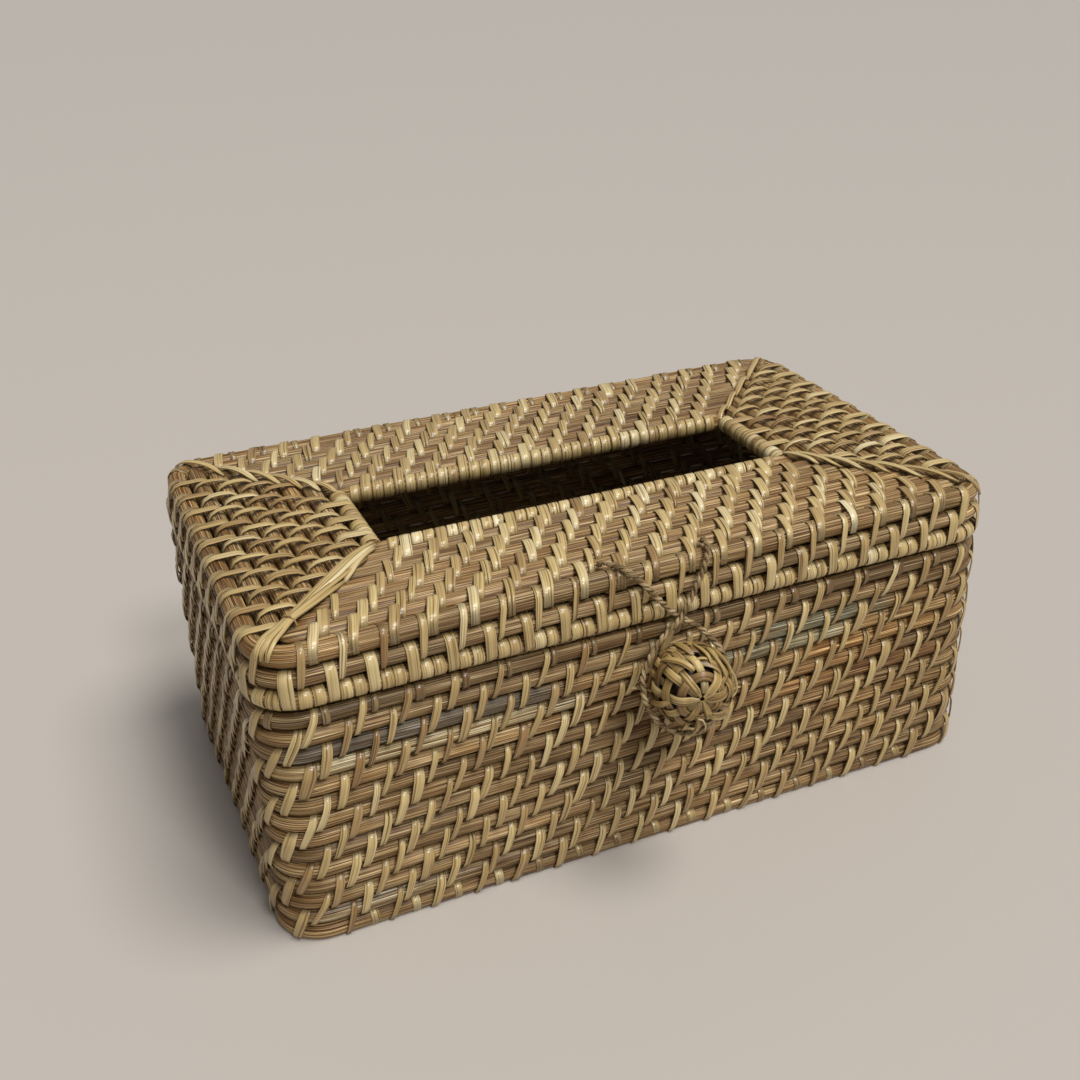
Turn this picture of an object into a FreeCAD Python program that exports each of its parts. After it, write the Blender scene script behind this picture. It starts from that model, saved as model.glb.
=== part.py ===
import FreeCAD, Part
import math
import os

from FreeCAD import Matrix, Vector

os.makedirs("parts", exist_ok=True)

# Driving dimensions, in millimetres and degrees

# Overall box
length = 260.0             # left to right, over the strips
width = 150.0              # front to back, over the strips
corner_radius = 16.0       # corner seen from above, over the strips
course_count = 14          # rods stacked in the wall of the base
seam_gap = 0.6             # between the base's top strips and the lid's rim
rest_flat = 0.5            # depth of the flat under the bottom rod

# Cane rods
rod_diameter = 5.5         # wall, rim, mid and floor rods
corner_rod_diameter = 6.8  # heavier rod round the lid's top edge
corner_rod_inset = 1.0     # how far the corner rod stands back from the lid's side
top_rod_diameter = 6.2     # rods of the lid's top
slot_rod_diameter = 5.4    # rods round the tissue slot
top_ring_count = 6         # rods between the corner rod and the slot's rod
seam_spread = 16.0         # step between the butt joints of stacked rods
butt_gap = 0.4             # between the two ends of one bent rod
mitre_gap = 0.4            # between the cut ends of two neighbouring panels

# Peel strips
strip_thickness = 0.45
strip_clearance = 0.1      # between a strip and the rod that it binds
stitch_width = 2.8         # stitches of the base
stitch_pitch = 14.2        # along one row of the base
stitch_lean = 17.0         # tilt of the base's stitches
stitch_side_gap = 0.7      # between the stitches of two rows, side by side on one rod
strip_side_gap = 0.2       # between other strips that lie side by side on one rod
top_wrap_width = 2.4       # short wraps on the base's top rod
rim_wrap_width = 3.4       # close winding on the lid's rim
long_strip_width = 3.6     # strips over the rim rod and the mid rod
edge_strip_width = 2.2     # thin strips over the corner rod and the mid rod
edge_strip_lean = 6.0
broad_strip_width = 3.0    # strips over the corner rod and the first top rod
panel_strip_width = 2.6    # stitches of the lid's top
panel_lean = 15.0          # tilt of the stitches on the front and back panels
slot_wraps_per_pitch = 4   # close winding round the tissue slot
slot_wrap_width = 2.6
mitre_strip_width = 2.2
mitre_strip_gap = 0.2
mitre_strip_counts = {"front_left": 3, "front_right": 3, "back_right": 2, "back_left": 3}
floor_lash_pitch = 28.0    # along the rods of the floor
floor_lash_step = 12.0     # sideways from one pair of floor rods to the next

# Hinge of strips at the back
hinge_offset = 70.0        # from the middle to each hinge loop
hinge_turns = 3
hinge_turn_width = 1.9
hinge_turn_gap = 0.15
hinge_clearance = 0.15     # between a hinge loop and the rods inside it
hinge_side_room = 0.5      # between a hinge loop and the strips beside it

# Woven ball and twine closure
ball_radius = 13.9
ball_x = 1.7
ball_course = 3            # the rod, counted from the top, that carries the ball's stem
ball_rise = 1.1            # of the ball's centre above that rod
ball_wall_gap = 0.6        # between the ball and the front wall
ball_layer_gap = 0.15      # between the layers of the ball
ball_strip_thickness = 0.6
ball_spoke_count = 8
ball_spoke_angle = 17.0
ball_ring_angles = (35.0, 62.0, 90.0, 118.0)
ball_ring_spread = 13.0
ball_front_hole = 14.0     # angle at the pole left open by the spokes
ball_back_hole = 35.0
ball_pole = Vector(-0.32, -0.89, 0.33)
stem_diameter = 2.0
stem_gap = 0.05
knot_radius = 1.5
left_knot_x = -18.6
right_knot_x = 17.6
twine_diameter = 1.7
bend_share = 0.45          # part of a twine run that its bend takes up
twine_points = [
    (-17.6, -67.7, 107.6), (-15.6, -71.3, 108.5), (-12.2, -74.6, 106.5), (-8.2, -76.4, 102.0),
    (-3.8, -76.5, 96.4), (0.3, -76.7, 91.6), (4.4, -77.1, 87.4), (9.0, -78.7, 84.7),
    (13.6, -81.4, 79.9), (16.9, -84.7, 73.9), (16.9, -89.5, 65.3), (11.1, -93.5, 58.3),
    (1.7, -94.9, 55.6), (-7.7, -93.5, 58.3), (-13.5, -89.5, 65.3), (-13.5, -84.7, 73.9),
    (-8.0, -81.7, 80.4), (-2.6, -80.2, 85.3), (2.2, -79.3, 87.2), (5.4, -79.0, 92.0),
    (8.8, -78.0, 97.2), (12.2, -76.9, 102.2), (14.6, -74.9, 106.5), (16.3, -71.5, 108.5),
    (17.1, -67.9, 107.6),
]

# Sizes that follow from the ones above
rod_radius = rod_diameter / 2
corner_rod_radius = corner_rod_diameter / 2
top_rod_radius = top_rod_diameter / 2
slot_rod_radius = slot_rod_diameter / 2
strip_room = strip_thickness + strip_clearance    # space that a strip takes beside its rod
rod_gap = strip_room + strip_clearance            # between two rods, room for one strip
double_gap = 2 * strip_room + strip_clearance     # between two rods, room for two strips
course_pitch = rod_diameter + rod_gap
hinge_width = hinge_turns * (hinge_turn_width + hinge_turn_gap)

bottom_course_z = rod_radius - rest_flat
top_course_z = bottom_course_z + (course_count - 1) * course_pitch
rim_z = top_course_z + rod_radius + strip_room + seam_gap + strip_room + rod_radius
mid_z = rim_z + rod_diameter + double_gap
corner_out = rod_radius - corner_rod_inset - corner_rod_radius
corner_reach = rod_radius + rod_gap + corner_rod_radius
corner_z = mid_z + math.sqrt(corner_reach ** 2 - corner_out ** 2)
lid_rod_top = corner_z + corner_rod_radius
top_rod_z = lid_rod_top - top_rod_radius
slot_rod_z = lid_rod_top - slot_rod_radius


class Ring:
    # Rounded rectangle seen from above. Side 0 is the front, 1 the right end, 2 the back, 3 the left end.

    def __init__(self, half_x, half_y, radius):
        self.half_x = half_x
        self.half_y = half_y
        self.radius = radius
        self.quarter = 0.5 * math.pi * radius
        self.starts = [0.0]
        for side in range(4):
            self.starts.append(self.starts[-1] + self.run(side) + self.quarter)
        self.total = self.starts[4]

    def distance(self, side):
        return self.half_y if side % 2 == 0 else self.half_x

    def run(self, side):
        half = self.half_x if side % 2 == 0 else self.half_y
        return 2 * (half - self.radius)

    def grown(self, out):
        return Ring(self.half_x + out, self.half_y + out, self.radius + out)

    def along(self, side, u):
        return self.starts[side] + self.run(side) / 2 + u

    def locate(self, s):
        s = s % self.total
        side = max(k for k in range(4) if self.starts[k] <= s)
        return side, s - self.starts[side]


wall = Ring(length / 2 - strip_room - rod_radius,
            width / 2 - strip_room - rod_radius,
            corner_radius - strip_room - rod_radius)

# Rods of the lid's top from the corner rod inwards: distance outwards from the wall, height and radius
lid_rods = [(corner_out, corner_z, corner_rod_radius)]
top_pitch = top_rod_diameter + rod_gap
first_gap = corner_rod_radius + rod_gap + top_rod_radius
first_step = math.sqrt(first_gap ** 2 - (top_rod_z - corner_z) ** 2)
for ring_index in range(top_ring_count):
    ring_out = corner_out - first_step - ring_index * top_pitch
    lid_rods.append((ring_out, top_rod_z, top_rod_radius))
slot_gap = top_rod_radius + double_gap + slot_rod_radius
slot_step = math.sqrt(slot_gap ** 2 - (slot_rod_z - top_rod_z) ** 2)
lid_rods.append((lid_rods[-1][0] - slot_step, slot_rod_z, slot_rod_radius))
panel_skew = wall.half_x - wall.half_y            # how much longer the long panels are than the short ones
mitre_half = max(mitre_strip_counts.values()) * (mitre_strip_width + mitre_strip_gap) / 2


def turned(shape, side, shift=Vector()):
    # Copy of a front-facing shape, moved along its side and then turned to face that side
    place = Matrix()
    place.move(shift)
    place.rotateZ(side * math.pi / 2)
    return shape.transformed(place, True)


def group(solids):
    return Part.makeCompound(solids)


def save(name, shape):
    shape.exportStep("parts/" + name + ".step")


# Bent rods

def ring_corners(ring, z):
    # Start, middle and end of the bend that follows each side
    corners = []
    for side in range(4):
        quarter = side * math.pi / 2
        turn = Matrix()
        turn.rotateZ(quarter)
        half_run = ring.run(side) / 2
        near = ring.distance(side)
        slant = ring.radius * math.sqrt(0.5)
        begin = turn.multVec(Vector(half_run, -near, z))
        middle = turn.multVec(Vector(half_run + slant, -near + ring.radius - slant, z))
        end = turn.multVec(Vector(half_run + ring.radius, -near + ring.radius, z))
        corners.append((begin, middle, end))
    return corners


def ring_prism(ring, height):
    # Upright solid with the ring as its outline, from the resting plane up
    edges = []
    corners = ring_corners(ring, 0)
    here = corners[3][2]
    for begin, middle, end in corners:
        edges.append(Part.LineSegment(here, begin).toShape())
        edges.append(Part.Arc(begin, middle, end).toShape())
        here = end
    return Part.Face(Part.Wire(edges)).extrude(Vector(0, 0, height))


def bent_rod(ring, z, radius, seam_x):
    # Round rod bent along the ring, its two ends butted on the back side
    corners = ring_corners(ring, z)
    first = Vector(seam_x - butt_gap / 2, ring.half_y, z)
    last = Vector(seam_x + butt_gap / 2, ring.half_y, z)
    edges = []
    here = first
    for side in (2, 3, 0, 1):
        begin, middle, end = corners[side]
        edges.append(Part.LineSegment(here, begin).toShape())
        edges.append(Part.Arc(begin, middle, end).toShape())
        here = end
    edges.append(Part.LineSegment(here, last).toShape())
    section = Part.Face(Part.Wire(Part.makeCircle(radius, first, Vector(-1, 0, 0))))
    return Part.Wire(edges).makePipe(section)


def above_rest(shape):
    # What lies below the resting plane is cut away
    below = Part.makeBox(2 * length, 2 * width, rod_diameter, Vector(-length, -width, -rod_diameter))
    return shape.cut(below).Solids[0]


def course_z(index):
    return top_course_z - index * course_pitch


def seam_at(index):
    # Butt joints step to and fro along the back, so that no two neighbours line up
    return (index * 2 % 5 - 2) * seam_spread


# Strips

def belt_wire(rods, grow):
    # Outline round one rod, or pulled tight round two, in the plane across the rods
    if len(rods) == 1:
        out, z, radius = rods[0]
        return Part.Wire(Part.makeCircle(radius + grow, Vector(0, -out, z), Vector(1, 0, 0)))
    near = Vector(0, -rods[0][0], rods[0][1])
    far = Vector(0, -rods[1][0], rods[1][1])
    near_radius = rods[0][2] + grow
    far_radius = rods[1][2] + grow
    axis = far - near
    taper = (near_radius - far_radius) / axis.Length
    axis.normalize()
    across = Vector(1, 0, 0).cross(axis) * math.sqrt(1 - taper ** 2)
    left = axis * taper + across
    right = axis * taper - across
    edges = [
        Part.LineSegment(near + left * near_radius, far + left * far_radius).toShape(),
        Part.Arc(far + left * far_radius, far + axis * far_radius, far + right * far_radius).toShape(),
        Part.LineSegment(far + right * far_radius, near + right * near_radius).toShape(),
        Part.Arc(near + right * near_radius, near - axis * near_radius, near + left * near_radius).toShape(),
    ]
    return Part.Wire(edges)


def strip_face(rods):
    wires = [belt_wire(rods, strip_room), belt_wire(rods, strip_clearance)]
    return Part.makeFace(wires, "Part::FaceMakerBullseye")


def straight_band(rods, band_width):
    # Flat strip wound square across straight rods, centred on the origin
    tube = strip_face(rods).extrude(Vector(band_width, 0, 0))
    tube.translate(Vector(-band_width / 2, 0, 0))
    return tube


def slope(lean):
    return math.tan(math.radians(lean))


def half_across(band_width, lean):
    # Half the width of a leaning strip, measured along the rod
    return 0.5 * band_width / math.cos(math.radians(lean))


def lean_reach(rods, lean):
    # How far each end of a leaning strip lies to the side of its middle
    span = 2 * strip_room + sum(radius for out, z, radius in rods)
    if len(rods) == 2:
        span += math.hypot(rods[0][0] - rods[1][0], rods[0][1] - rods[1][1])
    return 0.5 * span * slope(lean)


def leaning_band(rods, band_width, lean, up_the_wall):
    # The same strip between two slanted planes: up the wall, or outwards across the lid's top
    reach = 2 * lean_reach(rods, lean) + band_width
    tube = straight_band(rods, 2 * reach)
    half = half_across(band_width, lean)
    place = 1 if up_the_wall else 0
    middle = sum(rod[place] for rod in rods) / len(rods)
    span = sum(2 * rod[2] + strip_room for rod in rods)
    corners = []
    for edge, end in ((-half, -span), (half, -span), (half, span), (-half, span)):
        if up_the_wall:
            corners.append(Vector(edge + slope(lean) * end, -length, middle + end))
        else:
            corners.append(Vector(edge - slope(lean) * end, -(middle + end), -length))
    corners.append(corners[0])
    depth = Vector(0, 2 * length, 0) if up_the_wall else Vector(0, 0, 2 * length)
    slab = Part.Face(Part.makePolygon(corners)).extrude(depth)
    return tube.common(slab).Solids[0]


def bent_band(ring, side, begin, end, face):
    # Strip wound on a bent stretch of a ring: the end of one side, its corner and the start of the next side
    run = ring.run(side)
    bend = run + ring.quarter
    corner = Vector(run / 2, ring.radius - ring.distance(side), 0)
    pieces = []
    if begin < run:
        piece = face.extrude(Vector(min(end, run) - begin, 0, 0))
        piece.translate(Vector(begin - run / 2, -ring.distance(side), 0))
        pieces.append(piece)
    if end > run and begin < bend:
        start = max(begin, run)
        piece = face.translated(Vector(0, -ring.radius, 0))
        piece.rotate(Vector(), Vector(0, 0, 1), math.degrees((start - run) / ring.radius))
        sweep = math.degrees((min(end, bend) - start) / ring.radius)
        piece = piece.revolve(Vector(), Vector(0, 0, 1), sweep)
        pieces.append(piece.translated(corner))
    if end > bend:
        start = max(begin, bend)
        piece = face.extrude(Vector(end - start, 0, 0))
        piece.translate(Vector(start - bend, -ring.radius, 0))
        piece.rotate(Vector(), Vector(0, 0, 1), 90)
        pieces.append(piece.translated(corner))
    band = pieces[0]
    if len(pieces) > 1:
        band = band.fuse(pieces[1:]).removeSplitter()
    return turned(band.Solids[0], side)


def ring_bands(ring, rods, places, band_width, lean=0.0):
    # Strips round the rods of a ring at these places: leaning on the straight sides, square on the corners
    face = strip_face(rods)
    template = leaning_band(rods, band_width, lean, True) if lean else straight_band(rods, band_width)
    reach = lean_reach(rods, lean) + half_across(band_width, lean)
    bands = []
    for s in places:
        side, offset = ring.locate(s)
        run = ring.run(side)
        if reach <= offset <= run - reach:
            bands.append(turned(template, side, Vector(offset - run / 2, -ring.distance(side), 0)))
            continue
        if offset < band_width / 2:
            side = (side - 1) % 4
            offset += ring.run(side) + ring.quarter
        bands.append(bent_band(ring, side, offset - band_width / 2, offset + band_width / 2, face))
    return bands


def even_places(ring, count, phase):
    return [(phase + index * ring.total / count) % ring.total for index in range(count)]


def clear_of(places, blocked, room):
    return [s for s in places if all(abs(s - middle) > half + room for middle, half in blocked)]


hinge_spots = []
for hinge_side in (-1, 1):
    hinge_spots.append((wall.along(2, hinge_side * hinge_offset), hinge_width / 2 + hinge_side_room))
stem_spot = [(wall.along(0, ball_x), stem_diameter / 2 + strip_clearance)]
stitch_count = round(wall.total / stitch_pitch)
stitch_step = wall.total / stitch_count
stitch_half = half_across(stitch_width, stitch_lean)
stitch_shift = 2 * stitch_half + stitch_side_gap + course_pitch * slope(stitch_lean)


# Base

def wall_rods(index):
    return [(0.0, course_z(index), rod_radius), (0.0, course_z(index + 1), rod_radius)]


def stitch_places(row):
    return even_places(wall, stitch_count, -row * stitch_shift)


def make_courses():
    for index in range(course_count):
        rod = bent_rod(wall, course_z(index), rod_radius, seam_at(index))
        if index == course_count - 1:
            rod = above_rest(rod)
        save("base_course_%02d" % (index + 1), rod)


def make_base_lashing():
    for row in range(course_count - 1):
        rods = wall_rods(row)
        places = stitch_places(row)
        room = stitch_half + lean_reach(rods, stitch_lean)
        if row < 2:
            places = clear_of(places, hinge_spots, room)
        if row in (ball_course - 2, ball_course - 1):
            places = clear_of(places, stem_spot, room)
        bands = ring_bands(wall, rods, places, stitch_width, stitch_lean)
        if row == course_count - 2:
            bands = [above_rest(band) for band in bands]
        save("base_lashing_%02d" % (row + 1), group(bands))


def make_base_top_wrap():
    step = stitch_half + lean_reach(wall_rods(0), stitch_lean) + strip_side_gap + top_wrap_width / 2
    places = [(s + step) % wall.total for s in stitch_places(0)]
    places = clear_of(places, hinge_spots, top_wrap_width / 2)
    rods = [(0.0, top_course_z, rod_radius)]
    save("base_top_wrap", group(ring_bands(wall, rods, places, top_wrap_width)))


def make_floor():
    # Lengthwise rods inside the bottom course, lashed to each other and to the bottom course
    rod_z = strip_room + strip_clearance + rod_radius
    edge_y = wall.half_y - rod_diameter - double_gap
    count = int(2 * edge_y / course_pitch) + 1
    step = 2 * edge_y / (count - 1)
    inner = wall.grown(-rod_radius - strip_room - strip_clearance)
    pair = [(0.0, bottom_course_z, rod_radius), (edge_y - wall.half_y, rod_z, rod_radius)]
    template = straight_band(pair, stitch_width)
    ties = []
    tie_spots = {0: [], 2: []}
    for s in stitch_places(course_count - 2):
        side, offset = wall.locate(s + stitch_step / 2)
        u = offset - wall.run(side) / 2
        if side in tie_spots and abs(u) < (wall.run(side) - stitch_step) / 2:
            tie_spots[side].append((u if side == 0 else -u, stitch_width / 2))
            ties.append(above_rest(turned(template, side, Vector(u, -wall.half_y, 0))))
    save("floor_edge_lashing", group(ties))
    rods = []
    bands = []
    reach = (wall.run(0) - floor_lash_pitch) / 2
    lash_count = int(2 * reach / floor_lash_pitch)
    for index in range(count):
        y = -edge_y + index * step
        past = max(0.0, abs(y) + rod_radius - inner.half_y + inner.radius)
        half = inner.half_x - inner.radius + math.sqrt(max(0.0, inner.radius ** 2 - past ** 2))
        rods.append(Part.makeCylinder(rod_radius, 2 * half, Vector(-half, y, rod_z), Vector(1, 0, 0)))
        if index == 0:
            continue
        pair = [(-y, rod_z, rod_radius), (step - y, rod_z, rod_radius)]
        band = leaning_band(pair, stitch_width, panel_lean, False)
        start = index * floor_lash_step % floor_lash_pitch - reach
        places = [start + turn * floor_lash_pitch for turn in range(lash_count)]
        room = half_across(stitch_width, panel_lean) + lean_reach(pair, panel_lean)
        if index <= 2:
            places = clear_of(places, tie_spots[0], room)
        if index >= count - 2:
            places = clear_of(places, tie_spots[2], room)
        bands += [band.translated(Vector(x, 0, 0)) for x in places]
    save("floor_rods", group(rods))
    save("floor_lashing", group(bands))


def make_hinge_loops():
    # Close turns of strip round the base's top rod and the lid's rim rod, in which the rim rod turns
    rods = [(0.0, top_course_z, rod_radius), (0.0, rim_z, rod_radius)]
    wires = [belt_wire(rods, hinge_clearance + strip_thickness), belt_wire(rods, hinge_clearance)]
    face = Part.makeFace(wires, "Part::FaceMakerBullseye")
    turn = face.extrude(Vector(hinge_turn_width, 0, 0))
    for name, middle in (("left", hinge_offset), ("right", -hinge_offset)):
        turns = []
        for index in range(hinge_turns):
            u = middle + (index - (hinge_turns - 1) / 2) * (hinge_turn_width + hinge_turn_gap)
            shift = Vector(u - hinge_turn_width / 2, -wall.half_y, 0)
            turns.append(turned(turn, 2, shift))
        save("hinge_loop_" + name, group(turns))


# Woven ball on the front

stem_z = course_z(ball_course - 1)
ball_centre = Vector(ball_x, -(width / 2 + ball_wall_gap + ball_radius), stem_z + ball_rise)


def ball_slice(inner, outer, first, last, sweep):
    # Stretch of a spherical shell between two angles from the pole, turned about the pole's axis
    corners = []
    for radius, angle in ((inner, first), (outer, first), (outer, last), (inner, last)):
        bend = math.radians(angle)
        corners.append(Vector(radius * math.sin(bend), 0, radius * math.cos(bend)))
    halfway = math.radians((first + last) / 2)
    ray = Vector(math.sin(halfway), 0, math.cos(halfway))
    edges = [
        Part.LineSegment(corners[0], corners[1]).toShape(),
        Part.Arc(corners[1], ray * outer, corners[2]).toShape(),
        Part.LineSegment(corners[2], corners[3]).toShape(),
        Part.Arc(corners[3], ray * inner, corners[0]).toShape(),
    ]
    return Part.Face(Part.Wire(edges)).revolve(Vector(), Vector(0, 0, 1), sweep)


def at_ball(solids):
    place = FreeCAD.Placement(ball_centre, FreeCAD.Rotation(Vector(0, 0, 1), ball_pole))
    return group([solid.transformed(place.toMatrix(), True) for solid in solids])


def make_ball():
    spoke_inner = ball_radius - ball_strip_thickness
    ring_outer = spoke_inner - ball_layer_gap
    ring_inner = ring_outer - ball_strip_thickness
    core_radius = ring_inner - ball_layer_gap
    rings = []
    for angle in ball_ring_angles:
        rings.append(ball_slice(ring_inner, ring_outer, angle, angle + ball_ring_spread, 360))
    spokes = []
    for index in range(ball_spoke_count):
        spoke = ball_slice(spoke_inner, ball_radius, ball_front_hole, 180 - ball_back_hole, ball_spoke_angle)
        spoke.rotate(Vector(), Vector(0, 0, 1), index * 360 / ball_spoke_count)
        spokes.append(spoke)
    save("clasp_ball_core", Part.makeSphere(core_radius, ball_centre))
    save("clasp_ball_rings", at_ball(rings))
    save("clasp_ball_spokes", at_ball(spokes))
    half_chord = math.sqrt(core_radius ** 2 - ball_rise ** 2)
    back = ball_centre.y + half_chord + stem_gap
    front = -wall.half_y - rod_radius - stem_gap
    foot = Vector(ball_x, back, stem_z)
    save("clasp_stem", Part.makeCylinder(stem_diameter / 2, front - back, foot, Vector(0, 1, 0)))


# Lid

edge_pair = [(0.0, mid_z, rod_radius), lid_rods[0]]
edge_half = half_across(edge_strip_width, edge_strip_lean)
edge_step = long_strip_width / 2 + strip_side_gap + edge_half + lean_reach(edge_pair, edge_strip_lean)
panel_half = half_across(panel_strip_width, panel_lean)
broad_half = half_across(broad_strip_width, panel_lean)
edge_right = edge_step + edge_half + lean_reach(edge_pair, edge_strip_lean)


def broad_step(lean):
    # From a long strip to the broad strip beside it, past the thin strip between them
    return edge_right + strip_side_gap + half_across(broad_strip_width, lean) + lean_reach(lid_rods[:2], lean)


# The pitch is the closest at which a broad strip clears the next long strip, where the two rods meet
broad_right = broad_step(panel_lean) + broad_half - first_step / 2 * slope(panel_lean)
lid_count = int(wall.total / (broad_right + strip_side_gap + long_strip_width / 2))
lid_step = wall.total / lid_count
knot_middle = (left_knot_x + right_knot_x) / 2
# A broad strip lies midway between the knots
lid_phase = wall.along(0, knot_middle) - broad_step(panel_lean)
long_places = even_places(wall, lid_count, lid_phase)


def make_lid_rings():
    save("lid_rim_rod", bent_rod(wall, rim_z, rod_radius, 0.0))
    save("lid_mid_rod", bent_rod(wall, mid_z, rod_radius, seam_spread))
    save("lid_corner_rod", bent_rod(wall.grown(corner_out), corner_z, corner_rod_radius, -seam_spread))


def make_lid_rim_wrap():
    rim = [(0.0, rim_z, rod_radius)]
    pair = rim + [(0.0, mid_z, rod_radius)]
    places = clear_of(long_places, hinge_spots, long_strip_width / 2)
    bands = ring_bands(wall, pair, places, long_strip_width)
    for share in (1, 2):
        places = [(s + share * lid_step / 3) % wall.total for s in long_places]
        places = clear_of(places, hinge_spots, rim_wrap_width / 2)
        bands += ring_bands(wall, rim, places, rim_wrap_width)
    save("lid_rim_wrap", group(bands))


def make_lid_edge_lashing():
    places = [(s + edge_step) % wall.total for s in long_places]
    places = clear_of(places, hinge_spots, edge_strip_width)
    bands = ring_bands(wall, edge_pair, places, edge_strip_width, edge_strip_lean)
    save("lid_edge_lashing", group(bands))


def skew(side):
    return panel_skew if side % 2 == 0 else -panel_skew


lid_inside = ring_prism(
    wall.grown(corner_out - corner_rod_radius - strip_room - strip_clearance / 2), 2 * lid_rod_top)


def panel_prism(side):
    # Plan of one panel between its two mitres, with the tips cut back from the bent corner rod
    reach = wall.distance(side)
    half = reach + skew(side) - mitre_gap * math.sqrt(0.5)
    apex = max(0.0, -skew(side))
    corners = [Vector(-half, -reach, 0), Vector(half, -reach, 0)]
    corners += [Vector(half - reach + apex, -apex, 0), Vector(reach - half - apex, -apex, 0)]
    corners.append(corners[0])
    prism = Part.Face(Part.makePolygon(corners)).extrude(Vector(0, 0, 2 * lid_rod_top))
    return turned(prism, side).common(lid_inside)


def make_lid_rods():
    slot_rods = []
    for side, name in enumerate(("front", "right", "back", "left")):
        prism = panel_prism(side)
        rods = []
        for out, z, radius in lid_rods[1:]:
            y = wall.distance(side) + out
            rod = Part.makeCylinder(radius, 2 * length, Vector(-length, -y, z), Vector(1, 0, 0))
            rods.append(turned(rod, side).common(prism).Solids[0])
        slot_rods.append(rods.pop())
        save("lid_%s_rods" % name, group(rods))
    save("slot_rim_rods", group(slot_rods))


def row_shift(lean):
    # From a row to the next: clear of its neighbour on one rod and of the row after that in one gap
    if lean:
        return panel_half + broad_half + strip_side_gap + top_pitch * slope(lean)
    return (lid_step - panel_strip_width - strip_side_gap) / 2


def row_places(start, step, half):
    # Even places along one row of a panel
    lowest = math.ceil((-half - start) / step)
    highest = math.floor((half - start) / step)
    return [start + index * step for index in range(lowest, highest + 1)]


def panel_bands(side, rods, places, band_width, lean):
    template = leaning_band(rods, band_width, lean, False) if lean else straight_band(rods, band_width)
    return [turned(template, side, Vector(u, -wall.distance(side), 0)) for u in places]


def make_lid_lashing():
    slot_bands = []
    for side, name in enumerate(("front", "right", "back", "left")):
        lean = panel_lean if side % 2 == 0 else 0.0
        broad = (lid_phase + broad_step(lean) - wall.along(side, 0)) % lid_step
        bands = []
        for row in range(top_ring_count + 1):
            rods = lid_rods[row:row + 2]
            band_width = broad_strip_width if row == 0 else panel_strip_width
            reach = lean_reach(rods, lean) + half_across(band_width, lean)
            inner = wall.distance(side) + rods[1][0] - rods[1][2] - strip_room
            half = inner + skew(side) - mitre_half * math.sqrt(2) - reach
            if row == 0:
                half = min(half, wall.run(side) / 2 - reach)
            start = broad + row * row_shift(lean)
            places = row_places(start, lid_step, half)
            if row < top_ring_count:
                bands += panel_bands(side, rods, places, band_width, lean)
                continue
            slot_bands += panel_bands(side, rods, places, slot_wrap_width, lean)
            wrap_step = lid_step / slot_wraps_per_pitch
            aside = slot_step / 2 * slope(lean)
            reach = lean_reach(rods[1:], lean) + half_across(slot_wrap_width, lean)
            half = inner + skew(side) - reach - strip_clearance
            taken = [(u + aside, wrap_step / 2) for u in places]
            wraps = clear_of(row_places(start + aside, wrap_step, half), taken, 0.0)
            slot_bands += panel_bands(side, rods[1:], wraps, slot_wrap_width, lean)
        save("lid_%s_lashing" % name, group(bands))
    save("slot_rim_wrap", group(slot_bands))


def make_mitre_strips():
    # Long strips laid along each mitre, over the cut ends of the rods
    corner = wall.grown(corner_out)
    slot = wall.grown(lid_rods[-1][0])
    start = mitre_half * math.sqrt(4.5) - slot_rod_radius
    outer_x = corner.half_x - corner.radius + (corner.radius - corner_rod_radius) * math.sqrt(0.5)
    run = (outer_x - slot.half_x - start) * math.sqrt(2)
    base_z = lid_rod_top + strip_clearance
    pitch = mitre_strip_width + mitre_strip_gap
    for name, count in mitre_strip_counts.items():
        x_sign = 1 if "right" in name else -1
        y_sign = 1 if "back" in name else -1
        heading = math.degrees(math.atan2(y_sign, x_sign))
        strips = []
        for index in range(count):
            low = (index - (count - 1) / 2) * pitch - mitre_strip_width / 2
            strip = Part.makeBox(run, mitre_strip_width, strip_thickness, Vector(0, low, base_z))
            strip.rotate(Vector(), Vector(0, 0, 1), heading)
            corner_at = Vector(x_sign * (slot.half_x + start), y_sign * (slot.half_y + start), 0)
            strips.append(strip.translated(corner_at))
        save("mitre_strips_" + name, group(strips))


# Twine loop

def knot_place():
    # Seat on the strips of the corner rod and of the first top rod: distance outwards and height
    near_out, near_z, near_radius = lid_rods[0]
    far_out, far_z, far_radius = lid_rods[1]
    near_reach = near_radius + strip_room + strip_clearance + knot_radius
    far_reach = far_radius + strip_room + strip_clearance + knot_radius
    apart = math.hypot(far_out - near_out, far_z - near_z)
    along = (apart ** 2 + near_reach ** 2 - far_reach ** 2) / (2 * apart)
    rise = math.sqrt(near_reach ** 2 - along ** 2)
    out_step = (far_out - near_out) / apart
    z_step = (far_z - near_z) / apart
    return near_out + along * out_step + rise * z_step, near_z + along * z_step - rise * out_step


def make_knots():
    out, z = knot_place()
    knots = []
    for x in (left_knot_x, right_knot_x):
        knots.append(Part.makeSphere(knot_radius, Vector(x, -wall.half_y - out, z)))
    save("twine_knots", group(knots))
    print("twine axis y", round(-wall.half_y - out, 3), "z", round(z, 3))


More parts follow.
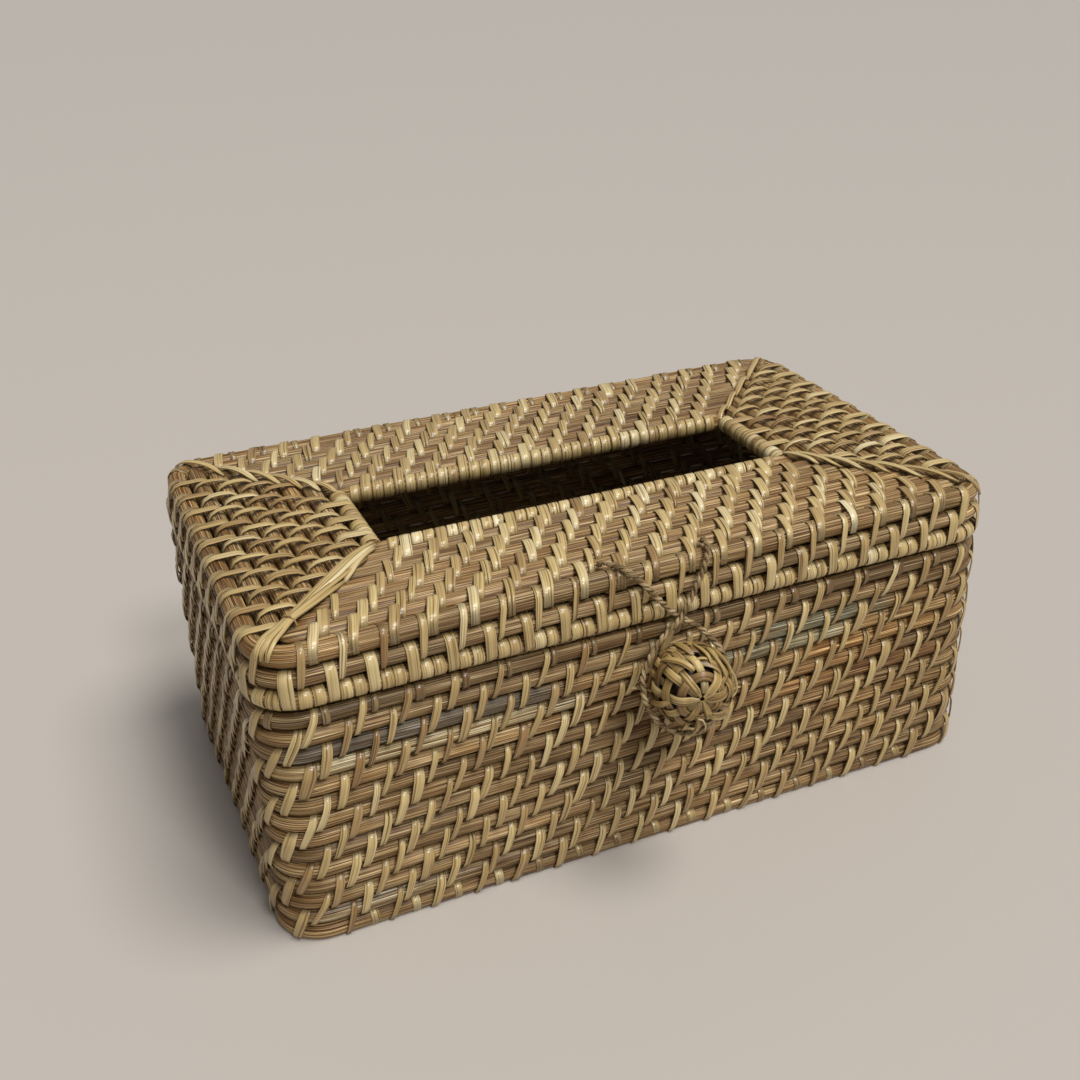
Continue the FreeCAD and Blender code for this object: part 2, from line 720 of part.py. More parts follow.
def cord_path(points):
    # Straight runs joined by tangent arcs as large as the runs allow
    edges = []
    radii = []
    here = points[0]
    for before, point, after in zip(points, points[1:], points[2:]):
        back = before - point
        ahead = after - point
        shorter = min(back.Length, ahead.Length)
        turn = math.pi - back.getAngle(ahead)
        reach = bend_share * shorter
        radius = reach / math.tan(turn / 2)
        radii.append(round(radius, 1))
        back.normalize()
        ahead.normalize()
        begin = point + back * reach
        end = point + ahead * reach
        inwards = back + ahead
        inwards.normalize()
        middle = point + inwards * (radius / math.cos(turn / 2) - radius)
        edges.append(Part.LineSegment(here, begin).toShape())
        edges.append(Part.Arc(begin, middle, end).toShape())
        here = end
    edges.append(Part.LineSegment(here, points[-1]).toShape())
    print("twine bend radii", radii)
    return Part.Wire(edges)


def make_twine_loop():
    points = [Vector(*point) for point in twine_points]
    path = cord_path(points)
    section = Part.Face(Part.Wire(Part.makeCircle(twine_diameter / 2, points[0], points[1] - points[0])))
    tube = path.makePipe(section)
    expected = math.pi / 4 * twine_diameter ** 2 * path.Length
    print("twine length", round(path.Length, 2))
    print("twine volume over section times length", round(tube.Volume / expected, 5))
    save("twine_loop", tube)


make_courses()
make_base_lashing()
make_base_top_wrap()
make_floor()
make_hinge_loops()
make_ball()
make_lid_rings()
make_lid_rim_wrap()
make_lid_edge_lashing()
make_lid_rods()
make_lid_lashing()
make_mitre_strips()
make_knots()
make_twine_loop()
print("rim axis y", round(wall.half_y, 3), "z", round(rim_z, 3))
print("lid top", round(lid_rod_top + strip_room, 3), "lid strips", lid_count, "base stitches", stitch_count)
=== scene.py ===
import math

import bpy
import numpy as np
from mathutils import Matrix, Vector


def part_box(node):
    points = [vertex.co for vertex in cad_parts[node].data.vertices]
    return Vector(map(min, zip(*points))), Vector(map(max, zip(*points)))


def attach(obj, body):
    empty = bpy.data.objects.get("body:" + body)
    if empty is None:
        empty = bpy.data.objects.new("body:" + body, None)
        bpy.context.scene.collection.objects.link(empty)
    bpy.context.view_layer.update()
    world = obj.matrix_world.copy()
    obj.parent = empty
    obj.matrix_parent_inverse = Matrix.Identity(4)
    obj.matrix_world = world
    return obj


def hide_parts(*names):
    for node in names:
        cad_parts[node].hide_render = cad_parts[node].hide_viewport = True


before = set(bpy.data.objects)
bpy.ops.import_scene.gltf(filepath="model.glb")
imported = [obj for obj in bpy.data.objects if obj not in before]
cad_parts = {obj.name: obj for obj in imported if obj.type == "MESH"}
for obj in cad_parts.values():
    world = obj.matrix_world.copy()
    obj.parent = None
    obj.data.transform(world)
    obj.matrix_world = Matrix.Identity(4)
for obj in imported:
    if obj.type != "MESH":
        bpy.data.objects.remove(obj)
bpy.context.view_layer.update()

chance = np.random.default_rng(148)
print("frame loaded:", len(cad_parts), "nodes")


# camera, at the photograph's viewing angle

view = {"eye": (-0.1725842, -0.3834992, 0.3013062), "right": (0.91585348, -0.40090509, -0.0220798),
        "ahead": (0.34525095, 0.81440182, -0.46642412), "lens": 43.78, "sensor": 36.0, "nearest": 0.01}


def makeCamera():
    data = bpy.data.cameras.new("camera")
    data.lens = view["lens"]
    data.sensor_width = view["sensor"]
    data.clip_start = view["nearest"]
    camera = bpy.data.objects.new("camera", data)
    bpy.context.scene.collection.objects.link(camera)
    back = -Vector(view["ahead"]).normalized()
    right = Vector(view["right"]).normalized()
    turn = Matrix((right, back.cross(right), back)).transposed()
    camera.matrix_world = Matrix.Translation(view["eye"]) @ turn.to_4x4()
    bpy.context.scene.camera = camera


makeCamera()
print("camera placed")


# mesh helpers

crispAngle = 60                                    # folds sharper than this keep a hard edge
capWidth = 0.0001                                  # width of the fibre pattern on a cut end
rest = {"from": 0.0008, "drop": 0.00012}           # what the box stands on presses the strips under it


def pressed(z):
    # heights under h are squeezed in order: (h + drop) * exp((z - h) / (h + drop)) - drop
    deep = rest["from"] + rest["drop"]
    low = deep * np.exp(np.minimum(z - rest["from"], 0) / deep) - rest["drop"]
    return np.where(z < rest["from"], np.maximum(low, 0), z)


def facesVolume(points, faces):
    # six times the volume inside closed faces, summed over the fan of triangles of each face
    corner = points[faces]
    return np.einsum("fj,fkj->", corner[:, 0], np.cross(corner[:, 1:-1], corner[:, 2:]))


def surface(name, points, uLines, vLines, closeRows, closeCols, marks, crisp=False):
    # pieces of one kind in one mesh: points (pieces, rows, cols, 3) make a grid of quads each, wrapped
    # round where a direction is closed; uLines and vLines are the pattern's coordinates of the grid
    # lines, one more where closed
    pieces, rows, cols = points.shape[:3]
    points = np.concatenate([points[..., :2], pressed(points[..., 2:])], axis=-1)
    r, c = np.divmod(np.arange((rows - 1 + closeRows) * (cols - 1 + closeCols)), cols - 1 + closeCols)
    r2, c2 = (r + 1) % rows, (c + 1) % cols
    base = (np.arange(pieces) * rows * cols)[:, None, None]
    quads = np.stack([r * cols + c, r2 * cols + c, r2 * cols + c2, r * cols + c2], axis=-1)
    quads = (quads[None] + base).reshape(-1, 4)
    uLines = np.broadcast_to(uLines, (pieces, rows + closeRows))
    vLines = np.broadcast_to(vLines, (pieces, cols + closeCols))
    u = np.stack([uLines[:, r], uLines[:, r + 1], uLines[:, r + 1], uLines[:, r]], axis=-1)
    v = np.stack([vLines[:, c], vLines[:, c], vLines[:, c + 1], vLines[:, c + 1]], axis=-1)
    uv = np.stack([u, v], axis=-1).reshape(-1, 4, 2)
    caps = np.zeros((0, cols), int)
    capUv = np.zeros((0, cols, 2))
    if closeCols and not closeRows:                # the open ends are closed by one face each
        ring = np.arange(cols)
        caps = np.concatenate([ring + base[:, 0], ring[::-1] + base[:, 0] + (rows - 1) * cols])
        capUv = np.stack([np.repeat(uLines[:, [0, -1]].T.reshape(-1, 1), cols, axis=1),
                          np.repeat(vLines[:, :1], 2, axis=0) + np.linspace(0, capWidth, cols)], axis=-1)
    flat = points.reshape(-1, 3)
    if facesVolume(flat, quads) + (facesVolume(flat, caps) if len(caps) else 0) < 0:
        quads, uv, caps, capUv = quads[:, ::-1], uv[:, ::-1], caps[:, ::-1], capUv[:, ::-1]
    corners = np.concatenate([quads.ravel(), caps.ravel()]).astype(np.int32)
    sizes = np.concatenate([np.full(len(quads), 4), np.full(len(caps), cols)]).astype(np.int32)
    mesh = bpy.data.meshes.new(name)
    mesh.vertices.add(len(flat))
    mesh.vertices.foreach_set("co", flat.astype(np.float32).ravel())
    mesh.loops.add(len(corners))
    mesh.loops.foreach_set("vertex_index", corners)
    mesh.polygons.add(len(sizes))
    mesh.polygons.foreach_set("loop_start", np.concatenate([[0], np.cumsum(sizes)[:-1]]).astype(np.int32))
    mesh.polygons.foreach_set("use_smooth", np.ones(len(sizes), bool))
    layer = mesh.uv_layers.new(name="UVMap")
    both = np.concatenate([uv.reshape(-1, 2), capUv.reshape(-1, 2)])
    layer.uv.foreach_set("vector", both.astype(np.float32).ravel())
    attribute = mesh.attributes.new("marks", "FLOAT_COLOR", "POINT")
    attribute.data.foreach_set("color", marks.astype(np.float32).ravel())
    mesh.update(calc_edges=True)
    if crisp:                                      # cut edges of a flat strip
        mesh.set_sharp_from_angle(angle=math.radians(crispAngle))
    return mesh


def place(mesh, body, slot, material, *nodes):
    # the piece rides on its body and stands for its nodes
    piece = bpy.data.objects.new(mesh.name, mesh)
    bpy.context.scene.collection.objects.link(piece)
    mesh.materials.append(material)
    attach(piece, body)
    if nodes:
        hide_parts(*nodes)
    return piece


def lineLength(points):
    # length gone at each point of lines (pieces, rows, dims)
    step = np.linalg.norm(np.diff(points, axis=1), axis=2)
    return np.concatenate([np.zeros((len(points), 1)), np.cumsum(step, axis=1)], axis=1)


# the wall's ring and the rods, read from the frame

def sizeOf(node):
    low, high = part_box(node)
    return np.array(low), np.array(high)


courseCount = 14
courseNames = ["base_course_%02d" % (k + 1) for k in range(courseCount)]
courseLow, courseHigh = sizeOf(courseNames[1])
rodRadius = (courseHigh[2] - courseLow[2]) / 2
wallBend = 0.0127                                  # bend of the rods at the corners


def makeRing(halfX, halfY, radius):
    runs = 2 * np.array([halfX - radius, halfY - radius] * 2)
    starts = np.concatenate([[0], np.cumsum(runs + 0.5 * math.pi * radius)])
    return {"radius": radius, "runs": runs, "dists": np.array([halfY, halfX] * 2), "starts": starts,
            "total": starts[4]}


wall = makeRing(courseHigh[0] - rodRadius, courseHigh[1] - rodRadius, wallBend)


def turnSide(side, x, y, z):
    # side 0 faces the front, 1 the right, 2 the back, 3 the left
    cosine = np.array([1, 0, -1, 0])[side]
    sine = np.array([0, 1, 0, -1])[side]
    return np.stack(np.broadcast_arrays(x * cosine - y * sine, x * sine + y * cosine, z), axis=-1)


def ringPoint(s, n, z):
    # rounded rectangle walked by length s: along the run, then round the bend; n is measured outwards
    s, n, z = np.broadcast_arrays(s % wall["total"], n, z)
    side = np.clip(np.searchsorted(wall["starts"], s, side="right") - 1, 0, 3)
    offset = s - wall["starts"][side]
    run = wall["runs"][side]
    bend = np.clip(offset - run, 0, None) / wall["radius"]
    reach = wall["radius"] + n
    x = np.minimum(offset, run) - run / 2 + reach * np.sin(bend)
    y = wall["radius"] - wall["dists"][side] - reach * np.cos(bend)
    return turnSide(side, x, y, z)


def ringPlace(side, u):
    return wall["starts"][side] + wall["runs"][side] / 2 + u


courseZ = [sizeOf(name)[1][2] - rodRadius for name in courseNames]
rimZ = sizeOf("lid_rim_rod")[1][2] - rodRadius
midZ = sizeOf("lid_mid_rod")[1][2] - rodRadius
cornerLow, cornerHigh = sizeOf("lid_corner_rod")
cornerRadius = (cornerHigh[2] - cornerLow[2]) / 2
cornerZ = cornerHigh[2] - cornerRadius
cornerOut = cornerHigh[0] - cornerRadius - wall["dists"][1]
lidTop = cornerHigh[2]
topLow, topHigh = sizeOf("lid_front_rods")
topRadius = (topHigh[2] - topLow[2]) / 2
topZ = topHigh[2] - topRadius
topCount = 6
topPitch = (topHigh[1] - topLow[1] - 2 * topRadius) / (topCount - 1)
topFirst = -topLow[1] - topRadius - wall["dists"][0]
slotLow, slotHigh = sizeOf("slot_rim_rods")
slotRadius = (slotHigh[2] - slotLow[2]) / 2
slotZ = slotHigh[2] - slotRadius
slotOut = slotHigh[1] - slotRadius - wall["dists"][0]
panelSkew = wall["dists"][1] - wall["dists"][0]    # the long panels are longer than the short ones by this

# each rod: distance outwards from the wall's line, height, radius, and the row of its slow waves
swell = 0.00017                                    # soft rods bulge between their strips and close the gaps
courseRods = [(0.0, z, rodRadius + swell * (k > 0), k) for k, z in enumerate(courseZ)]
rimRod = (0.0, rimZ, rodRadius, courseCount)       # the rods that meet at the hinge keep their room
midRod = (0.0, midZ, rodRadius, courseCount + 1)
cornerRod = (cornerOut, cornerZ, cornerRadius, courseCount + 2)
topRods = [(topFirst - k * topPitch, topZ, topRadius + swell, courseCount + 3 + k) for k in range(topCount)]
slotRod = (slotOut, slotZ, slotRadius, courseCount + 3 + topCount)
lidRods = [cornerRod] + topRods + [slotRod]

waves = {"depth": 0.00022, "rise": 0.00012, "turns": (7, 17), "slowShare": 0.65,
         "calmRows": (0, courseCount, courseCount + 1), "calmFade": 0.02}
wavePhases = chance.uniform(0, 2 * math.pi, (courseCount + 4 + topCount, 4))


def rodCentre(rod, s):
    # centre of a rod at length s: its place plus two slow sine waves outwards and two upwards
    out, height, _, row = rod
    slow, quick = (2 * math.pi * turns * s / wall["total"] for turns in waves["turns"])
    phase = wavePhases[row]
    share = waves["slowShare"]
    push, rise = (share * np.sin(slow + phase[k]) + (1 - share) * np.sin(quick + phase[k + 1])
                  for k in (0, 2))
    if row in waves["calmRows"]:                   # straight along the back, where the lid turns
        away = np.abs(s % wall["total"] - ringPlace(2, 0)) - wall["runs"][2] / 2
        calm = np.clip(away / waves["calmFade"], 0, 1)
        push, rise = calm * push, calm * rise
    return np.stack([out + waves["depth"] * push, height + waves["rise"] * rise], axis=-1)


# finishes

def tone(red, green, blue):
    # a colour as it shows on screen, 0 to 255, in linear values
    shown = np.array([red, green, blue]) / 255
    linear = np.where(shown <= 0.04045, shown / 12.92, ((shown + 0.055) / 1.055) ** 2.4)
    return (*linear.tolist(), 1.0)


def addNode(tree, kind, inputs=None, **settings):
    node = tree.nodes.new(kind)
    for key, value in settings.items():
        setattr(node, key, value)
    for key, value in (inputs or {}).items():
        if isinstance(value, bpy.types.NodeSocket):
            tree.links.new(value, node.inputs[key])
        else:
            node.inputs[key].default_value = value
    return node


def calculate(tree, operation, *values, kind="ShaderNodeMath"):
    return addNode(tree, kind, dict(enumerate(values)), operation=operation).outputs[0]


def mixColour(tree, blend, factor, first, second):
    inputs = {0: factor, 6: first, 7: second}
    return addNode(tree, "ShaderNodeMix", inputs, data_type="RGBA", blend_type=blend).outputs[2]


def mapValue(tree, value, low, high, newLow, newHigh):
    node = addNode(tree, "ShaderNodeMapRange", {0: value, 1: low, 2: high, 3: newLow, 4: newHigh})
    return node.outputs[0]


def colourRamp(tree, value, stops):
    node = addNode(tree, "ShaderNodeValToRGB", {0: value})
    elements = node.color_ramp.elements
    while len(elements) < len(stops):
        elements.new(0.5)
    for element, (position, colour) in zip(elements, stops):
        element.position = position
        element.color = tone(*colour)
    return node.outputs[0]


# noise of the fibres in three layers, for streaks, fine lines and broad patches: scale, detail
fibreNoise = {"layers": (((1.0, 1.0, 1.0), 2.0), ((2.1, 2.4, 1.0), 1.0), ((0.22, 0.26, 1.0), 1.0)),
              "roughness": 0.55, "fineHeight": 0.45, "usual": (0.35, 0.65)}


def makeFibreGroup():
    # lengthwise fibres: noise drawn out along u and packed close across v, at three scales
    group = bpy.data.node_groups.new("lengthwiseFibres", "ShaderNodeTree")
    results = ("Streak", "Fine", "Patch", "Height")
    for label, kind in (("Place", "Vector"), ("Along", "Float"), ("Across", "Float"), ("Seed", "Float")):
        group.interface.new_socket(label, in_out="INPUT", socket_type="NodeSocket" + kind)
    for label in results:
        group.interface.new_socket(label, in_out="OUTPUT", socket_type="NodeSocketFloat")
    enter = addNode(group, "NodeGroupInput").outputs
    stretch = addNode(group, "ShaderNodeCombineXYZ", {0: enter["Along"], 1: enter["Across"], 2: 1.0})
    shift = addNode(group, "ShaderNodeCombineXYZ", {2: enter["Seed"]})
    vectors = "ShaderNodeVectorMath"
    drawn = calculate(group, "MULTIPLY", enter["Place"], stretch.outputs[0], kind=vectors)
    moved = calculate(group, "ADD", drawn, shift.outputs[0], kind=vectors)
    noises = []
    for scale, detail in fibreNoise["layers"]:
        scaled = calculate(group, "MULTIPLY", moved, scale, kind=vectors)
        noise = addNode(group, "ShaderNodeTexNoise", {"Vector": scaled, "Scale": 1.0, "Detail": detail,
                                                      "Roughness": fibreNoise["roughness"]})
        noises.append(noise.outputs[0])
    height = calculate(group, "MULTIPLY_ADD", noises[1], fibreNoise["fineHeight"], noises[0])
    addNode(group, "NodeGroupOutput", dict(zip(results, (*noises, height))))
    return group


fibreGroup = makeFibreGroup()


def newFinish(name, gloss, fibre):
    # a material with the fibre group on the piece's own UV map, and its marks
    material = bpy.data.materials.new(name)
    material.use_nodes = True
    tree = material.node_tree
    shader = tree.nodes["Principled BSDF"]
    shader.inputs["Coat Weight"].default_value = gloss["coat"]
    shader.inputs["Coat Roughness"].default_value = gloss["coatRoughness"]
    shader.inputs["Specular IOR Level"].default_value = gloss["specular"]
    uvMap = addNode(tree, "ShaderNodeUVMap", uv_map="UVMap")
    marks = addNode(tree, "ShaderNodeAttribute", attribute_name="marks")
    fibres = addNode(tree, "ShaderNodeGroup", node_tree=fibreGroup)
    tree.links.new(uvMap.outputs[0], fibres.inputs["Place"])
    for key in ("Along", "Across", "Seed"):
        fibres.inputs[key].default_value = fibre[key]
    bump = addNode(tree, "ShaderNodeBump", {"Strength": fibre["bump"], "Distance": fibre["depth"],
                                            "Height": fibres.outputs["Height"]})
    tree.links.new(bump.outputs[0], shader.inputs["Normal"])
    return material, tree, shader, marks, fibres.outputs


def paint(tree, shader, colour, grain, roughness):
    # the colour, and a roughness that follows the grain
    tree.links.new(colour, shader.inputs["Base Color"])
    tree.links.new(mapValue(tree, grain, *fibreNoise["usual"], *roughness), shader.inputs["Roughness"])


caneLook = {"gloss": {"coat": 0.1, "coatRoughness": 0.2, "specular": 0.3},
            "fibre": {"Along": 19.0, "Across": 1900.0, "Seed": 3.0, "bump": 0.9, "depth": 0.0005},
            "fineShare": 0.8, "grainRange": (0.58, 1.22),
            "stops": ((0.16, (80, 50, 21)), (0.38, (123, 93, 56)), (0.54, (152, 124, 82)),
                      (0.72, (182, 157, 114)), (0.90, (224, 207, 172))),
            "bands": ((0.30, (196, 174, 146)), (0.46, (238, 226, 206)), (0.58, (255, 250, 238)),
                      (0.72, (252, 240, 230))),
            # the pale line colour is a painted highlight: thin glints along the rods' ridges
            "paintedGlint": (238, 218, 174), "paintedGlintRange": (0.58, 0.70), "paintedGlintShare": 0.55,
            "roughness": (0.4, 0.66)}


def makeCane():
    # whole cane: broad bands and fine streaks of brown, a few pale lines that are painted highlights on the
    # ridges, stained by the marks of each rod
    look = caneLook
    material, tree, shader, marks, fibres = newFinish("caneRod", look["gloss"], look["fibre"])
    both = calculate(tree, "MULTIPLY_ADD", fibres["Fine"], look["fineShare"], fibres["Streak"])
    grain = colourRamp(tree, mapValue(tree, both, *look["grainRange"], 0.0, 1.0), look["stops"])
    banded = mixColour(tree, "MULTIPLY", 1.0, grain, colourRamp(tree, fibres["Patch"], look["bands"]))
    # painted highlight: pale glint lines mixed into the colour where the fine fibre noise is high
    pale = mapValue(tree, fibres["Fine"], *look["paintedGlintRange"], 0.0, look["paintedGlintShare"])
    glinted = mixColour(tree, "MIX", pale, banded, tone(*look["paintedGlint"]))
    stained = mixColour(tree, "MULTIPLY", 1.0, glinted, marks.outputs["Color"])
    paint(tree, shader, stained, fibres["Streak"], look["roughness"])
    return material


peelGrain = {"patchRange": (0.3, 0.7), "patchTint": (-0.12, 0.12), "lineRange": (0.33, 0.67)}


def makePeel(name, look):
    # peel strip: marks hold its colour from tan to cream and how shaded it is; fine fibres run along it
    material, tree, shader, marks, fibres = newFinish(name, look["gloss"], look["fibre"])
    parts = addNode(tree, "ShaderNodeSeparateColor", {0: marks.outputs["Color"]}).outputs
    spread = mapValue(tree, fibres["Patch"], *peelGrain["patchRange"], *peelGrain["patchTint"])
    skin = colourRamp(tree, calculate(tree, "ADD", parts[0], spread), look["stops"])
    streak = mapValue(tree, fibres["Streak"], *peelGrain["lineRange"], 0.0, 1.0)
    lined = mixColour(tree, "MULTIPLY", 1.0, skin, colourRamp(tree, streak, look["lines"]))
    dim = addNode(tree, "ShaderNodeCombineColor", dict.fromkeys(range(3), parts[1])).outputs[0]
    paint(tree, shader, mixColour(tree, "MULTIPLY", 1.0, lined, dim), fibres["Fine"], look["roughness"])
    return material


peelLook = {"gloss": {"coat": 0.45, "coatRoughness": 0.15, "specular": 0.5},
            "fibre": {"Along": 20.0, "Across": 1700.0, "Seed": 11.0, "bump": 0.35, "depth": 0.0003},
            "stops": ((0.0, (146, 110, 62)), (0.3, (178, 151, 102)), (0.6, (206, 183, 128)),
                      (1.0, (236, 224, 186))),
            "lines": ((0.0, (150, 128, 94)), (0.40, (232, 224, 208)), (0.7, (255, 255, 255))),
            "roughness": (0.34, 0.56)}
ballLook = {"gloss": {"coat": 0.2, "coatRoughness": 0.22, "specular": 0.45},
            "fibre": {"Along": 30.0, "Across": 1900.0, "Seed": 23.0, "bump": 0.45, "depth": 0.0003},
            "stops": ((0.0, (98, 69, 40)), (0.3, (150, 119, 76)), (0.65, (196, 171, 114)),
                      (1.0, (234, 217, 168))),
            "lines": ((0.0, (150, 128, 96)), (0.45, (230, 222, 204)), (1.0, (255, 255, 255))),
            "roughness": (0.36, 0.6)}
twineLook = {"gloss": {"coat": 0.0, "coatRoughness": 0.3, "specular": 0.3},
             "fibre": {"Along": 260.0, "Across": 4200.0, "Seed": 31.0, "bump": 0.6, "depth": 0.0003},
             "stops": ((0.0, (98, 78, 52)), (0.4, (146, 124, 90)), (0.7, (188, 168, 130)),
                       (1.0, (228, 212, 178))),
             "lines": ((0.0, (112, 92, 72)), (0.4, (212, 200, 184)), (0.8, (255, 255, 255))),
             "roughness": (0.5, 0.8)}

caneFinish = makeCane()
peelFinish = makePeel("peelStrip", peelLook)
hingeFinish = makePeel("hingeStrip", peelLook)
ballFinish = makePeel("ballStrip", ballLook)
twineFinish = makePeel("twineFibre", twineLook)
print("finishes made")


# twine loop, on the route of the CAD part

twine = {"diameter": 0.0017, "step": 0.0007, "spanSteps": 12, "tint": 0.55, "tintSpread": 0.25,
         "tintTurn": 900, "lay": 0.0049, "plyRadius": 0.325, "plyOut": 0.29, "sides": 8,
         "up": (0.0, -0.3, 1.0),
         "route": [(-17.6, -67.7, 107.6), (-15.6, -71.3, 108.5), (-12.2, -74.6, 106.5), (-8.2, -76.4, 102.0),
                   (-3.8, -76.5, 96.4), (0.3, -76.7, 91.6), (4.4, -77.1, 87.4), (9.0, -78.7, 84.7),
                   (13.6, -81.4, 79.9), (16.9, -84.7, 73.9), (16.9, -89.5, 65.3), (11.1, -93.5, 58.3),
                   (1.7, -94.9, 55.6), (-7.7, -93.5, 58.3), (-13.5, -89.5, 65.3), (-13.5, -84.7, 73.9),
                   (-8.0, -81.7, 80.4), (-2.6, -80.2, 85.3), (2.2, -79.3, 87.2), (5.4, -79.0, 92.0),
                   (8.8, -78.0, 97.2), (12.2, -76.9, 102.2), (14.6, -74.9, 106.5), (16.3, -71.5, 108.5),
                   (17.1, -67.9, 107.6)]}
hair = {"count": 90, "length": (0.0012, 0.003), "radius": 0.00006, "tip": 0.4, "rows": 5, "endRoom": (4, 8),
        "aside": 0.6, "curl": 1.5,
        "look": {"sides": 3, "up": (0.21, -0.35, 0.9), "girth": 0.0004, "tint": 0.9, "shade": 1.0}}
millimetre = 0.001


def splinePoints(route, perSpan):
    # points read from a smooth spline that has the route as its control points
    curve = bpy.data.curves.new("route", "CURVE")
    curve.dimensions = "3D"
    curve.resolution_u = perSpan
    spline = curve.splines.new("NURBS")
    spline.points.add(len(route) - 1)
    controls = np.concatenate([route, np.ones((len(route), 1))], axis=1)
    spline.points.foreach_set("co", controls.astype(np.float32).ravel())
    spline.order_u = 3
    spline.use_endpoint_u = True
    line = bpy.data.objects.new("route", curve)
    mesh = bpy.data.meshes.new_from_object(line)
    points = np.zeros(len(mesh.vertices) * 3, np.float32)
    mesh.vertices.foreach_get("co", points)
    bpy.data.objects.remove(line)
    bpy.data.curves.remove(curve)
    bpy.data.meshes.remove(mesh)
    return points.reshape(-1, 3).astype(float)


def evenPoints(points, step):
    # the same line with its points an even step apart
    gone = lineLength(points[None])[0]
    even = np.linspace(0, gone[-1], int(round(gone[-1] / step)) + 1)
    return np.stack([np.interp(even, gone, points[:, k]) for k in range(3)], axis=1), even


def lineFrame(lines, up, closed=False):
    # side and normal directions along lines (pieces, rows, 3): the normal keeps near the up direction
    ahead = np.roll(lines, -1, axis=1) - np.roll(lines, 1, axis=1) if closed else np.gradient(lines, axis=1)
    side = np.cross(ahead, np.broadcast_to(up, lines.shape))
    side /= np.linalg.norm(side, axis=2, keepdims=True)
    normal = np.cross(side, ahead)
    return side, normal / np.linalg.norm(normal, axis=2, keepdims=True)


def flatMarks(shape, tint, shade):
    # marks of strips: colour from tan to cream, and how shaded
    both = np.broadcast_arrays(np.zeros(shape), tint, shade)
    return np.stack([both[1], both[2], both[0], both[0] + 1], axis=-1)


def tubes(name, lines, gone, radius, look, closed=False):
    # round section carried along lines (pieces, rows, 3): line + radius * (cos a * side + sin a * normal)
    side, normal = lineFrame(lines, look["up"], closed)
    angle = np.linspace(0, 2 * math.pi, look["sides"], endpoint=False)[:, None]
    section = np.cos(angle) * side[:, :, None] + np.sin(angle) * normal[:, :, None]
    points = lines[:, :, None] + np.broadcast_to(radius, lines.shape[:2])[:, :, None, None] * section
    marks = flatMarks(points.shape[:3], look["tint"], look["shade"])
    around = np.linspace(0, look["girth"], look["sides"] + 1)
    return surface(name, points, gone, around, closed, True, marks)


def plyLines(line, gone, out, lay):
    # two strands wound round a line: line + out * (cos t * side + sin t * normal), one turn in each lay
    side, normal = lineFrame(line[None], twine["up"])
    turn = 2 * math.pi * (gone[None] / lay + np.arange(2)[:, None] / 2)
    return line[None] + out * (np.cos(turn)[..., None] * side + np.sin(turn)[..., None] * normal)


def hairLines(line):
    # stray fibres that leave the twine along its length and curl outwards: t * ahead + aside * t^curl
    count = hair["count"]
    first, last = hair["endRoom"]
    start = chance.integers(first, len(line) - last, count)
    root = line[start]
    ahead = line[start + 2] - root
    ahead /= np.linalg.norm(ahead, axis=1, keepdims=True)
    aside = np.cross(ahead, chance.normal(size=(count, 3)))
    aside /= np.linalg.norm(aside, axis=1, keepdims=True)
    long = chance.uniform(*hair["length"], (count, 1))
    t = np.linspace(0, 1, hair["rows"])[None, :, None]
    way = chance.choice([-1.0, 1.0], (count, 1, 1))
    bent = way * t * ahead[:, None] + hair["aside"] * t ** hair["curl"] * aside[:, None]
    return root[:, None] + long[:, None] * bent


def makeTwine():
    path = splinePoints(np.array(twine["route"]) * millimetre, twine["spanSteps"])
    line, gone = evenPoints(path, twine["step"])
    plies = plyLines(line, gone, twine["plyOut"] * twine["diameter"], twine["lay"])
    radius = twine["plyRadius"] * twine["diameter"]
    tint = twine["tint"] + twine["tintSpread"] * np.sin(twine["tintTurn"] * gone)[None, :, None]
    look = {**twine, "girth": 2 * math.pi * radius, "tint": tint, "shade": 1.0}
    mesh = tubes("twineLoop", plies, gone[None], radius, look)
    piece = place(mesh, "loop", "twine", twineFinish, "twine_loop")
    hairs = hairLines(line)
    thin = hair["radius"] * np.linspace(1, hair["tip"], hair["rows"])[None]
    place(tubes("twineHairs", hairs, lineLength(hairs), thin, hair["look"]), "loop", "twine", twineFinish)
    print("twine length", round(float(gone[-1]), 4))


makeTwine()


# bent rods of the wall and of the lid's edge

rodLook = {"runStep": 0.004, "bendSteps": 12, "sides": 48, "buttGap": 0.0004, "seamSpread": 0.016,
           "seamOrder": (-2, 0, 2, -1, 1), "grooves": ((3, 0.030), (5, 0.045), (8, 0.045)),
           "wander": 0.8, "wanderTurn": 21, "wanderShift": 3}


def ringStations(seam):
    # lengths along the ring from one end of a rod to the other, closer together round the bends
    parts = []
    for side in range(4):
        start, run = wall["starts"][side], wall["runs"][side]
        parts.append(np.linspace(start, start + run, int(run / rodLook["runStep"]))[:-1])
        parts.append(np.linspace(start + run, wall["starts"][side + 1], rodLook["bendSteps"])[:-1])
    gone = np.sort((np.concatenate(parts) - seam) % wall["total"])
    gap = rodLook["buttGap"]
    gone = gone[(gone > 2 * gap) & (gone < wall["total"] - 2 * gap)]
    return seam + np.concatenate([[gap / 2], gone, [wall["total"] - gap / 2]])


def flutedRadius(radius, s, angle, phase):
    # a rod is a bundle of fibres: narrow lengthwise grooves, (0.5 - 0.5 cos)^4 deep, that wander round it
    hollow = 0
    for (count, depth), shift in zip(rodLook["grooves"], phase):
        wander = rodLook["wander"] * np.sin(s * rodLook["wanderTurn"] + rodLook["wanderShift"] * shift)
        hollow = hollow + depth * (0.5 - 0.5 * np.cos(count * angle + shift + wander)) ** 4
    return radius * (1 - hollow)


